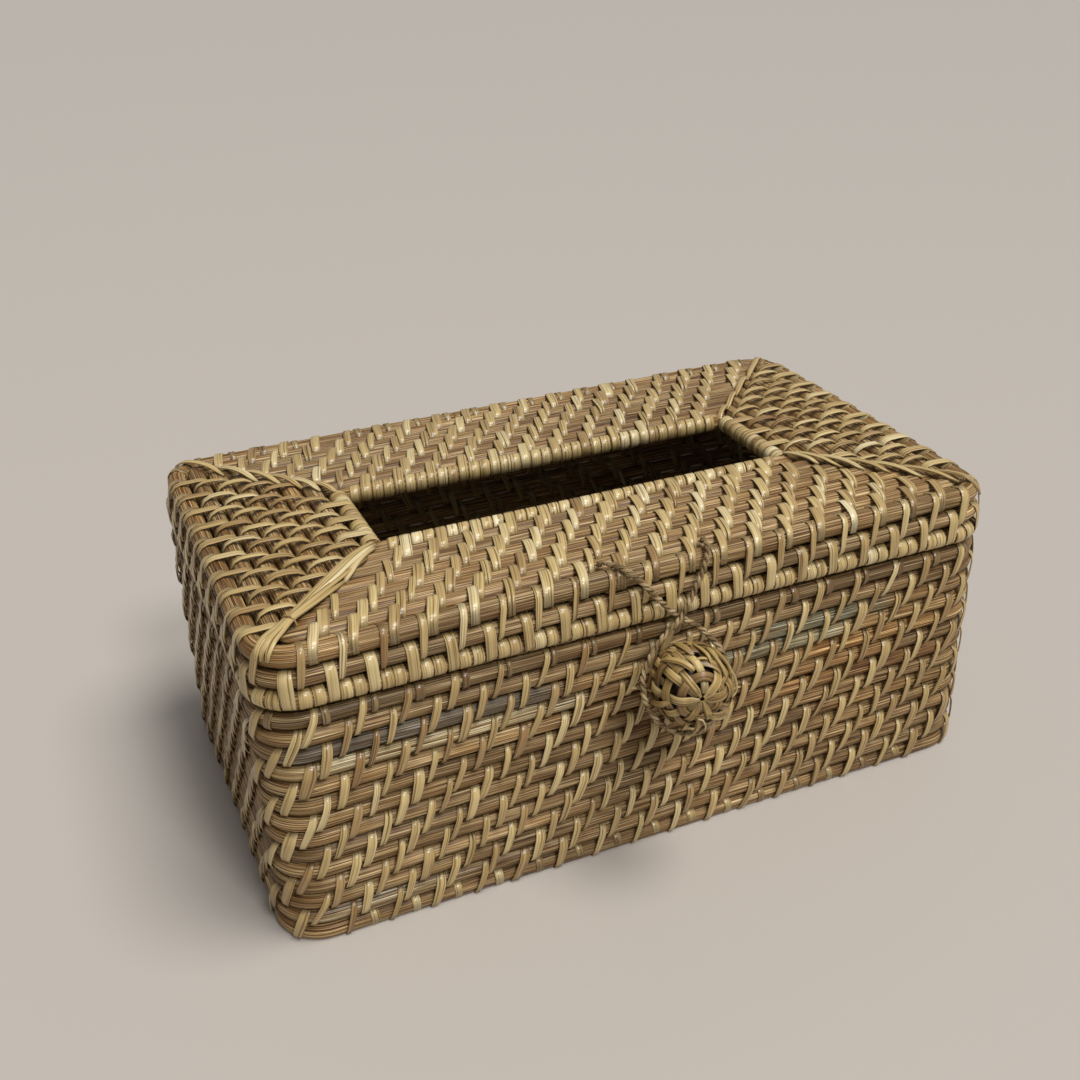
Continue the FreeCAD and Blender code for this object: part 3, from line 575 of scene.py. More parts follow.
# stains seen on the front: row of the rod, from x, to x, colour factor
stains = [(0, -0.13, 0.13, (0.66, 0.66, 0.66)), (1, -0.12, 0.06, (0.98, 1.0, 1.04)),
          (2, -0.13, -0.03, (0.56, 0.70, 1.1)), (3, -0.125, -0.02, (1.3, 1.66, 2.3)),
          (2, 0.03, 0.09, (0.9, 1.3, 1.9)), (3, 0.01, 0.075, (0.95, 1.35, 2.0)),
          (4, 0.04, 0.12, (1.2, 1.1, 0.95)), (5, 0.045, 0.1, (1.12, 0.98, 0.82)),
          (6, 0.03, 0.12, (1.08, 0.95, 0.85)), (12, -0.122, -0.07, (1.25, 1.5, 1.95)),
          (9, -0.06, 0.0, (0.72, 0.74, 0.78)), (8, 0.06, 0.12, (1.2, 1.14, 1.0)),
          (courseCount + 1, -0.105, 0.118, (0.84, 0.85, 0.88)),
          (courseCount + 2, -0.105, 0.118, (0.82, 0.84, 0.88))]
stainFade = 0.012
# a rod's own tint, and its slow changes: turns round the ring and depth for bent rods, then the straight ones
rodTint = {"own": 0.09, "warm": (0.0, 0.02, 0.06), "slow": ((5, 0.14), (13, 0.10)), "range": (0.3, 4.5),
           "straightTurn": 47, "straightShift": 6, "straightDepth": 0.09, "straightRange": (0.4, 1.6),
           "uShift": 1.7, "spread": 9}


def ownTint(size):
    # lighter or darker, and warmer or cooler
    light = rodTint["own"] * chance.normal(size=size)
    return 1 + light + np.array(rodTint["warm"]) * chance.normal(size=size)


def rodMarks(row, s, cols):
    # colour of a rod along its length: its own tint, slow changes, and the stains of the front
    own = ownTint(1)
    slow = 0
    for (turns, depth), phase in zip(rodTint["slow"], wavePhases[row]):
        slow = slow + depth * np.sin(2 * math.pi * turns * s / wall["total"] + phase)
    colour = own * (1 + slow)[:, None]
    x, y, _ = ringPoint(s, 0.0, 0.0).T
    for course, low, high, factor in stains:
        if course == row:
            inside = np.clip((x - low) / stainFade, 0, 1) * np.clip((high - x) / stainFade, 0, 1)
            inside = np.where(y < 0, inside, 0)[:, None]
            colour = colour * (1 - inside) + colour * np.array(factor) * inside
    colour = np.concatenate([np.clip(colour, *rodTint["range"]), np.ones((len(s), 1))], axis=1)
    return np.broadcast_to(colour[None, :, None], (1, len(s), cols, 4))


def bentRod(name, rod, seam):
    # ring(s) carries the section: n = out + r(s, a) cos a, z = height + r(s, a) sin a
    sides, row = rodLook["sides"], rod[3]
    s = ringStations(ringPlace(2, -seam))[None, :, None]
    angle = np.linspace(0, 2 * math.pi, sides, endpoint=False)[None, None]
    radius = flutedRadius(rod[2], s, angle, wavePhases[row])
    centre = rodCentre(rod, s)
    points = ringPoint(s, centre[..., 0] + radius * np.cos(angle), centre[..., 1] + radius * np.sin(angle))
    uLines = s[:, :, 0] + rodTint["uShift"] * row
    vLines = np.linspace(0, 2 * math.pi * rod[2], sides + 1) + row
    return surface(name, points, uLines, vLines, False, True, rodMarks(row, s[0, :, 0], sides))


def placeRod(mesh, body, node):
    place(mesh, body, "cane_rod", caneFinish, node)


def makeBentRods():
    spread, order = rodLook["seamSpread"], rodLook["seamOrder"]
    for k, rod in enumerate(courseRods):
        mesh = bentRod("course%02d" % (k + 1), rod, order[k % len(order)] * spread)
        placeRod(mesh, "base", courseNames[k])
    for label, rod, seam in (("rim", rimRod, 0), ("mid", midRod, 1), ("corner", cornerRod, -1)):
        placeRod(bentRod(label + "Rod", rod, seam * spread), "lid", "lid_%s_rod" % label)
    print("bent rods made")


makeBentRods()


# straight rods of the lid's top and of the floor

def straightRods(name, ends, rods, side, stations, shade=1.0):
    # rods along u: u = t * end(n), n = out + r cos a, z = height + r sin a, turned to face their side
    angle = np.linspace(0, 2 * math.pi, rodLook["sides"], endpoint=False)
    out, height, radius = (np.array([rod[k] for rod in rods])[:, None, None] for k in range(3))
    phase = chance.uniform(0, 2 * math.pi, (len(rodLook["grooves"]), len(rods), 1, 1))
    t = np.linspace(-1, 1, stations)[None, :, None]
    u = t * ends(out + radius * np.cos(angle))
    thick = flutedRadius(radius, u, angle, phase)
    away = wall["dists"][side] + out + thick * np.cos(angle)
    points = turnSide(side, u, -away, height + thick * np.sin(angle))
    vLines = np.linspace(0, 2 * math.pi * rodRadius, rodLook["sides"] + 1)
    vLines = vLines + chance.uniform(0, rodTint["spread"], (len(rods), 1))
    uLines = t[0, :, 0] * ends(out)[:, 0] + chance.uniform(0, rodTint["spread"], (len(rods), 1))
    turn = u * rodTint["straightTurn"] + rodTint["straightShift"] * phase[0]
    slow = 1 + rodTint["straightDepth"] * np.sin(turn)[..., None]
    colour = np.clip(ownTint((len(rods), 1, 1, 1)) * slow, *rodTint["straightRange"])
    marks = np.concatenate([colour * shade, np.ones(slow.shape)], axis=-1)
    return surface(name, points, uLines, vLines, False, True, marks)


panel = {"mitreGap": 0.0003, "tipRoom": 0.0006, "stations": 44, "names": ("front", "right", "back", "left"),
         "shade": (1.0, 1.0, 0.86, 1.0)}


def skew(side):
    return panelSkew if side % 2 == 0 else -panelSkew


def panelEnd(side):
    # half length of a panel's rods: to the mitre, or to the bent corner rod where that comes first
    grow = cornerOut - cornerRadius - panel["tipRoom"]
    bend = wall["radius"] + grow
    other = wall["dists"][(side + 1) % 4] + grow - bend

    def end(n):
        away = wall["dists"][side] + n
        past = np.clip(away - (wall["dists"][side] + grow - bend), 0, bend)
        return np.minimum(away + skew(side) - panel["mitreGap"], other + np.sqrt(bend ** 2 - past ** 2))

    return end


def joined(meshes):
    # several meshes as one, under the first one's name
    objects = [bpy.data.objects.new(mesh.name, mesh) for mesh in meshes]
    for piece in objects:
        bpy.context.scene.collection.objects.link(piece)
    with bpy.context.temp_override(active_object=objects[0], object=objects[0], selected_objects=objects,
                                   selected_editable_objects=objects):
        bpy.ops.object.join()
    mesh = objects[0].data
    bpy.data.objects.remove(objects[0])
    return mesh


def makeStraightRods():
    stations = panel["stations"]
    for side, label in enumerate(panel["names"]):
        shade = panel["shade"][side]
        mesh = straightRods(label + "PanelRods", panelEnd(side), topRods, side, stations, shade)
        placeRod(mesh, "lid", "lid_%s_rods" % label)
    meshes = [straightRods("slotRods", panelEnd(side), [slotRod], side, stations) for side in range(4)]
    placeRod(joined(meshes), "lid", "slot_rim_rods")
    print("panel rods made")


makeStraightRods()


# strips round one or two rods

strip = {"gap": 0.00006, "thick": 0.0005, "bevel": 0.0001, "across": (-1.0, -0.84, 0.84, 1.0, 0.9, -0.9),
         "acrossGone": (0, 0.08, 0.92, 1.0, 1.2, 2.1, 2.3), "edgeShade": (0.78, 1.0, 1.0, 0.78, 0.6, 0.6),
         "capTurns": (-90, -35, 20, 58, 90), "runShares": (0.2, 0.5, 0.8), "aroundSteps": 14,
         "halfAside": 0.52, "halfWide": 0.47, "proud": (0.5, 1.5), "dimFrom": 0.72, "dimCurve": 1.5,
         "insideFrom": -0.3, "insideShade": 0.6, "spread": 5,
         "laidHeights": (0.3, 0.7, 0.7, 0.3, -0.5, -0.5), "laidWidth": 0.0022}
# what a strip is like where its own look says nothing else
plainLook = {"uneven": 0.08, "lean": 0.0, "leanSpread": 2.5, "bulge": 0.0002, "crown": 0.00005, "tint": 0.55,
             "tintSpread": 0.16, "split": 0.0, "taper": 0.0, "taperFrom": 0.1, "pinch": 0.0, "curl": 0.0,
             "bow": 0.0, "dim": 0.45, "shade": 1.0}


def beltPath(low, high, lowRadius, highRadius):
    # outline pulled round two rods, seen along them: half circle round the low or outer rod, outer run,
    # half circle round the high or inner rod, inner run; gives foot points, their outward normals, how far
    # along they are and how far they face outwards
    aim = high - low
    aim = (aim / np.linalg.norm(aim, axis=1, keepdims=True))[:, None]
    low, high = low[:, None], high[:, None]
    face = np.stack([aim[..., 1], -aim[..., 0]], axis=-1)
    turn = np.radians(strip["capTurns"])[None, :, None]
    first = np.sin(turn) * face - np.cos(turn) * aim
    last = (np.sin(turn) * face + np.cos(turn) * aim)[:, ::-1]
    share = np.array(strip["runShares"])[None, :, None]
    run = (low + lowRadius * face) * (1 - share) + (high + highRadius * face) * share
    middle = (low + high) / 2
    back = middle - (lowRadius + highRadius) / 2 * face
    foot = np.concatenate([low + lowRadius * first, run, high + highRadius * last, back], axis=1)
    normal = np.concatenate([first, np.broadcast_to(face, run.shape), last, -face], axis=1)
    return foot, normal, ((foot - middle) * aim).sum(axis=2), (normal * face).sum(axis=2)


def wrapPath(centre, radius, aim):
    # outline round one rod: a circle, started on its hidden side
    turn = np.linspace(0, 2 * math.pi, strip["aroundSteps"], endpoint=False)[None, :, None]
    aim = np.array(aim)
    face = np.array([aim[1], -aim[0]])
    normal = -np.cos(turn) * face - np.sin(turn) * aim
    normal = np.broadcast_to(normal, (len(centre), *normal.shape[1:]))
    return centre[:, None] + radius * normal, normal, radius * (normal @ aim), normal @ face


def splitHalves(count, share):
    # the strip that each piece belongs to, and its half: 0 for a whole strip, -1 and 1 for a split one
    strips = np.arange(count)
    split = chance.random(count) < share
    half = np.concatenate([np.where(split, -1, 0), np.ones(split.sum())])
    return np.concatenate([strips, strips[split]]), half[:, None]


def stripPoints(places, path, look):
    # strips of six points across: flat with bevelled edges outside, flat inside
    # s = place + tan(lean) * way + half width * across, (n, z) = foot + normal * (lift + height)
    look = {**plainLook, **look}
    each = (len(places), 1)
    wide = look["width"] / 2 * np.exp(look["uneven"] * chance.normal(size=each))
    lean = np.radians(look["lean"] + look["leanSpread"] * chance.normal(size=each))
    proud = look["bulge"] * chance.uniform(*strip["proud"], each)
    tint = np.clip(look["tint"] + look["tintSpread"] * chance.normal(size=(*each, 1)), 0, 1)
    index, half = splitHalves(len(places), look["split"])
    foot, normal, way, outer = (part[index] for part in path)
    wide, lean, proud, tint, middle = (part[index] for part in (wide, lean, proud, tint, places[:, None]))
    share = way / np.abs(way).max(axis=1, keepdims=True)      # from -1 at the low end to 1 at the high end
    narrow = np.clip((look["taperFrom"] - share) / (1 + look["taperFrom"]), 0, 1)
    wide = wide * (1 - look["taper"] * narrow) * (1 - look["pinch"] * np.abs(share) ** 3)
    middle = middle + np.tan(lean) * way - look["curl"] * narrow ** 2 + half * strip["halfAside"] * wide
    middle = middle + look["bow"] * (1 - share ** 2)
    wide = np.where(half == 0, wide, strip["halfWide"] * wide)
    lift = proud * (1 - share ** 2) * np.clip(outer, 0, 1)
    top, edge = strip["thick"] + look["crown"], strip["thick"] - strip["bevel"]
    rise = lift[..., None] + np.array([edge, top, top, edge, strip["gap"], strip["gap"]])
    s = middle[..., None] + wide[..., None] * np.array(strip["across"])
    n, z = (foot[..., k, None] + normal[..., k, None] * rise for k in range(2))
    # painted shade: strips darken towards the ends that tuck under the rods, and are darker on their hidden
    # inner side and at their bevelled edges
    ends = np.clip((np.abs(share) - strip["dimFrom"]) / (1 - strip["dimFrom"]), 0, 1) ** strip["dimCurve"]
    shade = np.where(outer < strip["insideFrom"], strip["insideShade"], 1 - look["dim"] * ends)
    marks = flatMarks(s.shape, tint, look["shade"] * shade[..., None] * strip["edgeShade"])
    around = lineLength(np.concatenate([foot, foot[:, :1]], axis=1))
    shift = chance.uniform(0, strip["spread"], (2, len(index), 1))
    return s, n, z, around + shift[0], look["width"] * np.array(strip["acrossGone"]) + shift[1], marks


def stripMesh(name, groups, side=None):
    # groups of strips in one mesh: lengths along the ring, or along the straight rods of one side
    s, n, z, uLines, vLines, marks = (np.concatenate(parts) for parts in zip(*groups))
    points = ringPoint(s, n, z) if side is None else turnSide(side, s, -(wall["dists"][side] + n), z)
    return surface(name, points, uLines, vLines, True, True, marks, True)


def placeStrips(mesh, body, node):
    place(mesh, body, "peel_strip", peelFinish, node)


def ringWrap(places, rod, look):
    return stripPoints(places, wrapPath(rodCentre(rod, places), rod[2], (0, 1)), look)


def ringBelt(places, low, high, look):
    path = beltPath(rodCentre(low, places), rodCentre(high, places), low[2], high[2])
    return stripPoints(places, path, look)


def straightBelt(places, low, high, look, fallBack=0.0):
    ends = [np.tile(rod[:2], (len(places), 1)) for rod in (low, high)]
    ends[0][:, 0] -= fallBack
    return stripPoints(places, beltPath(*ends, low[2], high[2]), look)


def evenPlaces(count, phase):
    return (phase + np.arange(count) * wall["total"] / count) % wall["total"]


def clearOf(places, spots, room):
    away = [np.abs(places - middle) > half + room for middle, half in spots]
    return places[np.all(away, axis=0)] if away else places


hinge = {"offset": 0.070, "turns": 3, "gap": 0.00015, "half": 0.0036,
         "look": {"width": 0.0019, "uneven": 0.04, "leanSpread": 0.5, "bulge": 0.0001, "tint": 0.6,
                  "dim": 0.2}}
hingeSpots = [(ringPlace(2, end * hinge["offset"]), hinge["half"]) for end in (-1, 1)]
stitch = {"count": 54, "shift": 0.005508, "jitter": 0.00045, "reach": 0.00195, "half": 0.00146,
          "ballX": 0.0017, "stemHalf": 0.0011, "hingeRows": (0, 1), "stemRows": (1, 2),
          "look": {"width": 0.0026, "uneven": 0.17, "lean": 17.0, "leanSpread": 3.2, "taper": 0.2,
                   "taperFrom": 0.3, "pinch": 0.12, "curl": 0.0002, "bulge": 0.00045, "tint": 0.43,
                   "tintSpread": 0.15, "dim": 0.55, "split": 0.07}}
topWrap = {"after": 0.004813,
           "look": {"width": 0.0022, "uneven": 0.15, "lean": 4.0, "tint": 0.12, "bulge": 0.0,
                    "shade": 0.62}}


def stitchPlaces(row):
    places = evenPlaces(stitch["count"], -row * stitch["shift"])
    return places + stitch["jitter"] * chance.normal(size=len(places))


def makeBaseLashing():
    stemSpot = [(ringPlace(0, stitch["ballX"]), stitch["stemHalf"])]
    room = stitch["half"] + stitch["reach"]
    for row in range(courseCount - 1):
        places = stitchPlaces(row)
        if row in stitch["hingeRows"]:
            places = clearOf(places, hingeSpots, room)
        if row in stitch["stemRows"]:
            places = clearOf(places, stemSpot, room)
        group = ringBelt(places, courseRods[row + 1], courseRods[row], stitch["look"])
        number = "%02d" % (row + 1)
        placeStrips(stripMesh("stitches" + number, [group]), "base", "base_lashing_" + number)
    places = (stitchPlaces(0) + topWrap["after"]) % wall["total"]
    places = clearOf(places, hingeSpots, topWrap["look"]["width"] / 2)
    group = ringWrap(places, courseRods[0], topWrap["look"])
    placeStrips(stripMesh("topWraps", [group]), "base", "base_top_wrap")
    for end, label in ((1, "left"), (-1, "right")):
        turn = np.arange(hinge["turns"]) - (hinge["turns"] - 1) / 2
        places = ringPlace(2, end * hinge["offset"]) + turn * (hinge["look"]["width"] + hinge["gap"])
        mesh = stripMesh(label + "HingeLoop", [ringBelt(places, courseRods[0], rimRod, hinge["look"])])
        place(mesh, "base", "hinge_strip", hingeFinish, "hinge_loop_" + label)
    print("base strips made")


makeBaseLashing()


# strips of the lid

lid = {"count": 64, "phase": 0.104083, "jitter": 0.00035, "wrapJitter": 0.0001, "edgeAfter": 0.003844,
       "broadAfter": (0.009417, 0.007388), "rowShift": (0.004934, 0.00463), "lean": (15.0, 0.0),
       "mitreRoom": (0.0042, 0.0012, 0.004, 0.002), "wraps": 3, "shade": (1.0, 1.0, 0.9, 1.0),
       "longLook": {"width": 0.0034, "uneven": 0.05, "lean": -2.0, "leanSpread": 1.5, "bulge": 0.0002,
                    "tint": 0.53, "tintSpread": 0.07, "taper": 0.08, "dim": 0.35, "split": 0.04},
       "rimLook": {"width": 0.0036, "uneven": 0.03, "crown": 0.0001, "lean": -1.0, "leanSpread": 0.8,
                   "bulge": 0.0, "tint": 0.57, "tintSpread": 0.12, "dim": 0.3},
       "edgeLook": {"width": 0.0023, "uneven": 0.12, "lean": 9.0, "bulge": 0.0002, "tint": 0.46,
                    "taper": 0.25, "split": 0.06},
       "broadLook": {"width": 0.0032, "uneven": 0.12, "bulge": 0.0003, "tint": 0.54, "pinch": 0.12,
                     "split": 0.08, "bow": 0.0004},
       "rowLook": {"width": 0.0029, "uneven": 0.14, "bulge": 0.0003, "tint": 0.53, "pinch": 0.12,
                   "split": 0.12, "bow": 0.0003},
       "endLook": {"width": 0.0026, "uneven": 0.12, "bulge": 0.0011, "tint": 0.49, "pinch": 0.4,
                   "dim": 0.65},
       "slotLook": {"width": 0.0036, "uneven": 0.03, "crown": 0.0001, "leanSpread": 0.8, "bulge": 0.0,
                    "tint": 0.58, "dim": 0.2}}
lidStep = wall["total"] / lid["count"]
wrapStep = lidStep / lid["wraps"]                  # each step has one long strip and short wraps


def makeLidEdge():
    longPlaces = evenPlaces(lid["count"], lid["phase"])
    jitter = lid["wrapJitter"] * chance.normal(size=(lid["wraps"] + 1, len(longPlaces)))
    kept = clearOf(longPlaces + jitter[0], hingeSpots, lid["longLook"]["width"] / 2)
    groups = [ringBelt(kept, rimRod, midRod, lid["longLook"])]
    for share in range(1, lid["wraps"]):
        places = (longPlaces + share * wrapStep + jitter[share]) % wall["total"]
        places = clearOf(places, hingeSpots, lid["rimLook"]["width"] / 2)
        groups.append(ringWrap(places, rimRod, lid["rimLook"]))
    placeStrips(stripMesh("rimWraps", groups), "lid", "lid_rim_wrap")
    places = (longPlaces + lid["edgeAfter"] + jitter[-1]) % wall["total"]
    places = clearOf(places, hingeSpots, lid["edgeLook"]["width"])
    group = ringBelt(places, midRod, cornerRod, lid["edgeLook"])
    placeStrips(stripMesh("edgeStrips", [group]), "lid", "lid_edge_lashing")
    print("lid edge made")


makeLidEdge()


def rowPlaces(start, step, half):
    # places a step apart, from -half to half
    first, last = math.ceil((-half - start) / step), math.floor((half - start) / step)
    return start + step * np.arange(first, last + 1)


def bendBack(u, side):
    # how far the corner rod falls back where it leaves the straight run: R - sqrt(R^2 - past^2)
    bend = wall["radius"] + cornerOut
    past = np.clip(np.abs(u) - wall["runs"][side] / 2, 0, bend)
    return bend - np.sqrt(bend ** 2 - past ** 2)


def makeLidTop():
    slotMeshes = []
    for side, label in enumerate(panel["names"]):
        ends = side % 2
        own = {"lean": lid["lean"][ends], "shade": lid["shade"][side]}
        start = (lid["phase"] + lid["broadAfter"][ends] - ringPlace(side, 0)) % lidStep
        groups = []
        for row in range(topCount):
            outer, inner = lidRods[row], lidRods[row + 1]
            half = wall["dists"][side] + inner[0] + skew(side) - lid["mitreRoom"][side]
            places = rowPlaces(start + row * lid["rowShift"][ends], lidStep, half)
            places = places + lid["jitter"] * chance.normal(size=len(places))
            look = lid["broadLook"] if row == 0 else lid["endLook"] if ends else lid["rowLook"]
            fallBack = bendBack(places, side) if row == 0 else 0.0
            groups.append(straightBelt(places, outer, inner, {**look, **own}, fallBack))
        placeStrips(stripMesh(label + "PanelStrips", groups, side), "lid", "lid_%s_lashing" % label)
        start = start + topCount * lid["rowShift"][ends]
        half = wall["dists"][side] + slotOut - slotRadius + skew(side)
        look = {**lid["slotLook"], **own}
        places = rowPlaces(start, lidStep, half - slotRadius)
        groups = [straightBelt(places, topRods[-1], slotRod, look)]
        aside = (topRods[-1][0] - slotOut) / 2 * math.tan(math.radians(lid["lean"][ends]))
        wraps = rowPlaces(start + aside, wrapStep, half)
        wraps = clearOf(wraps, [(u + aside, wrapStep / 2) for u in places], 0)
        centre = np.tile(slotRod[:2], (len(wraps), 1))
        groups.append(stripPoints(wraps, wrapPath(centre, slotRadius, (-1, 0)), look))
        slotMeshes.append(stripMesh("slotWraps", groups, side))
    placeStrips(joined(slotMeshes), "lid", "slot_rim_wrap")
    print("lid top made")


makeLidTop()


# strips laid along listed lines: the mitres and the ball

def smoothLine(controls, rows):
    # smooth line through control points, each span a cubic that leaves along the line between its neighbours
    points = np.array(controls, float)
    ends = np.concatenate([2 * points[:1] - points[1:2], points, 2 * points[-1:] - points[-2:-1]])
    t = np.linspace(0, len(points) - 1, rows)
    k = np.clip(t.astype(int), 0, len(points) - 2)
    f = (t - k)[:, None]
    p0, p1, p2, p3 = ends[k], ends[k + 1], ends[k + 2], ends[k + 3]
    return 0.5 * (2 * p1 + (p2 - p0) * f + (2 * p0 - 5 * p1 + 4 * p2 - p3) * f ** 2
                  + (3 * p1 - p0 - 3 * p2 + p3) * f ** 3)


def ribbons(name, lines, wide, up, tint, shade, thick, closed=False):
    # flat section of six points with bevelled edges, carried along lines (pieces, rows, 3)
    side, normal = lineFrame(lines, up, closed)
    across = np.array(strip["across"])[:, None]
    height = thick * np.array(strip["laidHeights"])[:, None]
    wide = np.broadcast_to(wide, lines.shape[:2])[..., None, None]
    points = lines[:, :, None] + wide * across * side[:, :, None] + height * normal[:, :, None]
    marks = flatMarks(points.shape[:3], np.asarray(tint)[..., None],
                      np.asarray(shade)[..., None] * strip["edgeShade"])
    length = lineLength(np.concatenate([lines, lines[:, :1]], axis=1) if closed else lines)
    shift = chance.uniform(0, strip["spread"], (len(lines), 1))
    vLines = strip["laidWidth"] * np.array(strip["acrossGone"]) + shift
    return surface(name, points, length + shift, vLines, closed, True, marks, True)


# lines along each mitre, in millimetres: distance out from the slot's corner, aside towards the long
# panel, height over the rods
mitre = {"rows": 22, "thick": 0.00055, "halfWidth": 0.0011, "uneven": (0.85, 1.15), "tip": 0.45,
         "tipSlope": 5, "tint": 0.56, "tintSpread": 0.12, "endShade": 0.4, "shadeSlope": 9, "upLean": 0.2,
         "front_left": {"corner": (-1, -1), "lines": [
             [(-1.5, -0.6, -0.8), (2, -0.4, 0.9), (14, -1.8, 1.5), (30, -1.5, 1.6), (44, -0.8, 1.7),
              (52, -0.4, 1.8), (58, -1.2, 1.4), (63, -1.8, 1.1), (66.4, -2.0, -0.8), (67.4, -2.0, -3.2)],
             [(10, 2.6, 0.1), (22, 2.0, 1.1), (34, 1.2, 1.6), (46, 0.4, 1.8), (52, 0.2, 1.9), (58, 0.1, 1.5),
              (63, 0.0, 1.2), (66.5, 0.0, -0.7), (67.5, 0.0, -3.2)],
             [(24, 3.4, 0.1), (34, 2.6, 1.0), (46, 1.4, 1.6), (52, 0.9, 1.8), (58, 1.3, 1.4), (63, 1.7, 1.1),
              (66.4, 1.9, -0.8), (67.4, 1.9, -3.2)],
             [(2, 1.0, -0.4), (8, 1.3, 0.9), (16, 1.9, 1.1), (26, 3.6, 0.2)],
             [(0, 0.3, -0.4), (6, 0.2, 0.9), (14, 0.0, 1.3), (24, 0.2, 1.4), (34, 0.0, 1.5), (44, -0.2, 1.3),
              (50, -0.2, 0.8)]]},
         "front_right": {"corner": (1, -1), "lines": [
             [(-1.0, -1.6, 0.2), (3, -0.4, 1.3), (9, 1.4, 1.2), (13, 3.0, -0.2)],
             [(0, -2.4, 0.3), (7, -0.8, 1.7), (14, 0.8, 1.5), (21, 3.0, -0.2)],
             [(9, -2.6, 0.2), (16, -0.8, 1.7), (23, 0.8, 1.4), (29, 2.8, -0.2)],
             [(18, -2.8, 0.2), (25, -0.9, 1.8), (32, 0.6, 1.5), (38, 2.6, -0.2)],
             [(27, -2.8, 0.2), (35, -1.0, 1.7), (42, 0.6, 1.4), (49, 2.6, -0.2)],
             [(38, -2.8, 0.2), (46, -1.2, 1.7), (54, 0.6, 1.4), (61, 2.6, -0.2)],
             [(50, -2.6, 0.2), (57, -1.2, 1.5), (63, 0.2, 1.2), (67, 1.0, -1.6), (68.2, 1.2, -4.2)]]},
         "back_right": {"corner": (1, 1), "lines": [
             [(-3.0, 0.2, -4.0), (-2.6, 0.2, -0.6), (1, 0.2, 1.3), (6, 0.2, 1.2), (10, 0.5, 0.0)],
             [(5, -0.8, 0.2), (11, -0.4, 1.6), (18, 0.3, 1.5), (25, 0.8, 0.0)],
             [(20, -0.6, 0.2), (27, -0.3, 1.6), (35, 0.3, 1.5), (43, 0.8, 0.0)],
             [(38, -0.8, 0.2), (46, -0.3, 1.6), (55, 0.3, 1.4), (62, 0.6, 1.3), (66.6, 0.6, -0.6),
              (68.2, 0.6, -4.2)]]},
         "back_left": {"corner": (-1, 1), "lines": [
             [(13, 2.2, -0.1), (8, 1.0, 1.4), (3, -0.6, 1.6), (-1.5, -1.8, 0.0)],
             [(22, 2.6, -0.1), (16, 1.0, 1.6), (10, -0.8, 1.8), (5, -2.6, 0.2)],
             [(31, 2.8, -0.1), (24, 1.2, 1.6), (18, -0.6, 1.8), (12, -2.8, 0.2)],
             [(41, 3.0, -0.1), (34, 1.4, 1.6), (27, -0.6, 1.8), (20, -3.0, 0.2)],
             [(52, 3.0, -0.1), (44, 1.4, 1.6), (37, -0.6, 1.8), (30, -3.0, 0.2)],
             [(68.2, 1.8, -4.2), (66.6, 1.8, -0.6), (61, 1.6, 1.5), (52, 0.4, 1.7), (44, -2.6, 0.2)]]}}
mitreTie = {"line": [(52, -2.6, 0.0), (52, -1.3, 2.3), (52, 1.3, 2.4), (52, 2.6, 0.2)],
            "halfWidth": 0.0003, "tint": 0.35}


def mitreLine(corner, controls, rows):
    # corner of the slot's rods + out * diagonal + aside * across the diagonal, and up from the rods' tops
    out, aside, rise = smoothLine(np.array(controls) * millimetre, rows).T
    x = corner[0] * (wall["dists"][1] + slotOut + (out - aside) / math.sqrt(2))
    y = corner[1] * (wall["dists"][0] + slotOut + (out + aside) / math.sqrt(2))
    return np.stack([x, y, lidTop + rise], axis=1)


def makeMitres():
    rows, thick = mitre["rows"], mitre["thick"]
    t = np.linspace(0, 1, rows)
    inward = np.minimum(t, 1 - t)
    for label in ("front_left", "front_right", "back_right", "back_left"):
        corner, lines = mitre[label]["corner"], mitre[label]["lines"]
        laid = np.stack([mitreLine(corner, controls, rows) for controls in lines])
        wide = mitre["halfWidth"] * chance.uniform(*mitre["uneven"], (len(lines), 1))
        wide = wide * (mitre["tip"] + (1 - mitre["tip"]) * np.clip(inward * mitre["tipSlope"], 0, 1))
        tint = np.clip(mitre["tint"] + mitre["tintSpread"] * chance.normal(size=(len(lines), 1)), 0, 1)
        shade = 1 - mitre["endShade"] * np.clip(1 - inward * mitre["shadeSlope"], 0, 1)
        up = np.array([corner[0] * mitre["upLean"], corner[1] * mitre["upLean"], 1.0])
        meshes = [ribbons("mitre", laid, wide, up, tint, shade[None], thick)]
        if label == "front_left":
            tie = mitreLine(corner, mitreTie["line"], rows)[None]
            tint = np.full((1, 1), mitreTie["tint"])
            meshes.append(ribbons("tie", tie, mitreTie["halfWidth"], up, tint, np.ones((1, 1)), thick))
        placeStrips(joined(meshes), "lid", "mitre_strips_" + label)
    print("mitres made")


makeMitres()


# woven ball: spokes and rings round a star that faces the viewer, and the strips laid last

ball = {"star": (1.98, -3.34), "thick": 0.0005, "weave": 0.00045, "sink": 0.0009, "rows": 44, "ringRows": 108,
        "rings": (30, 52, 74, 96, 118, 140), "ringHalf": 0.00145, "ringTint": 0.36, "tintSpread": 0.07,
        "ringSway": 2, "fullFrom": 13, "tip": 0.35, "longFrom": (3.0, 8.0), "shortFrom": (60.0,),
        "spokeTo": 150, "driftRange": (-1, 3.5), "spokeShade": 0.6, "ringShade": 0.55, "overShade": 0.4,
        "deepTo": 30, "deepShade": 0.4, "overRamp": (0.6, 0.8), "laidTip": 0.35, "laidShade": 0.4}
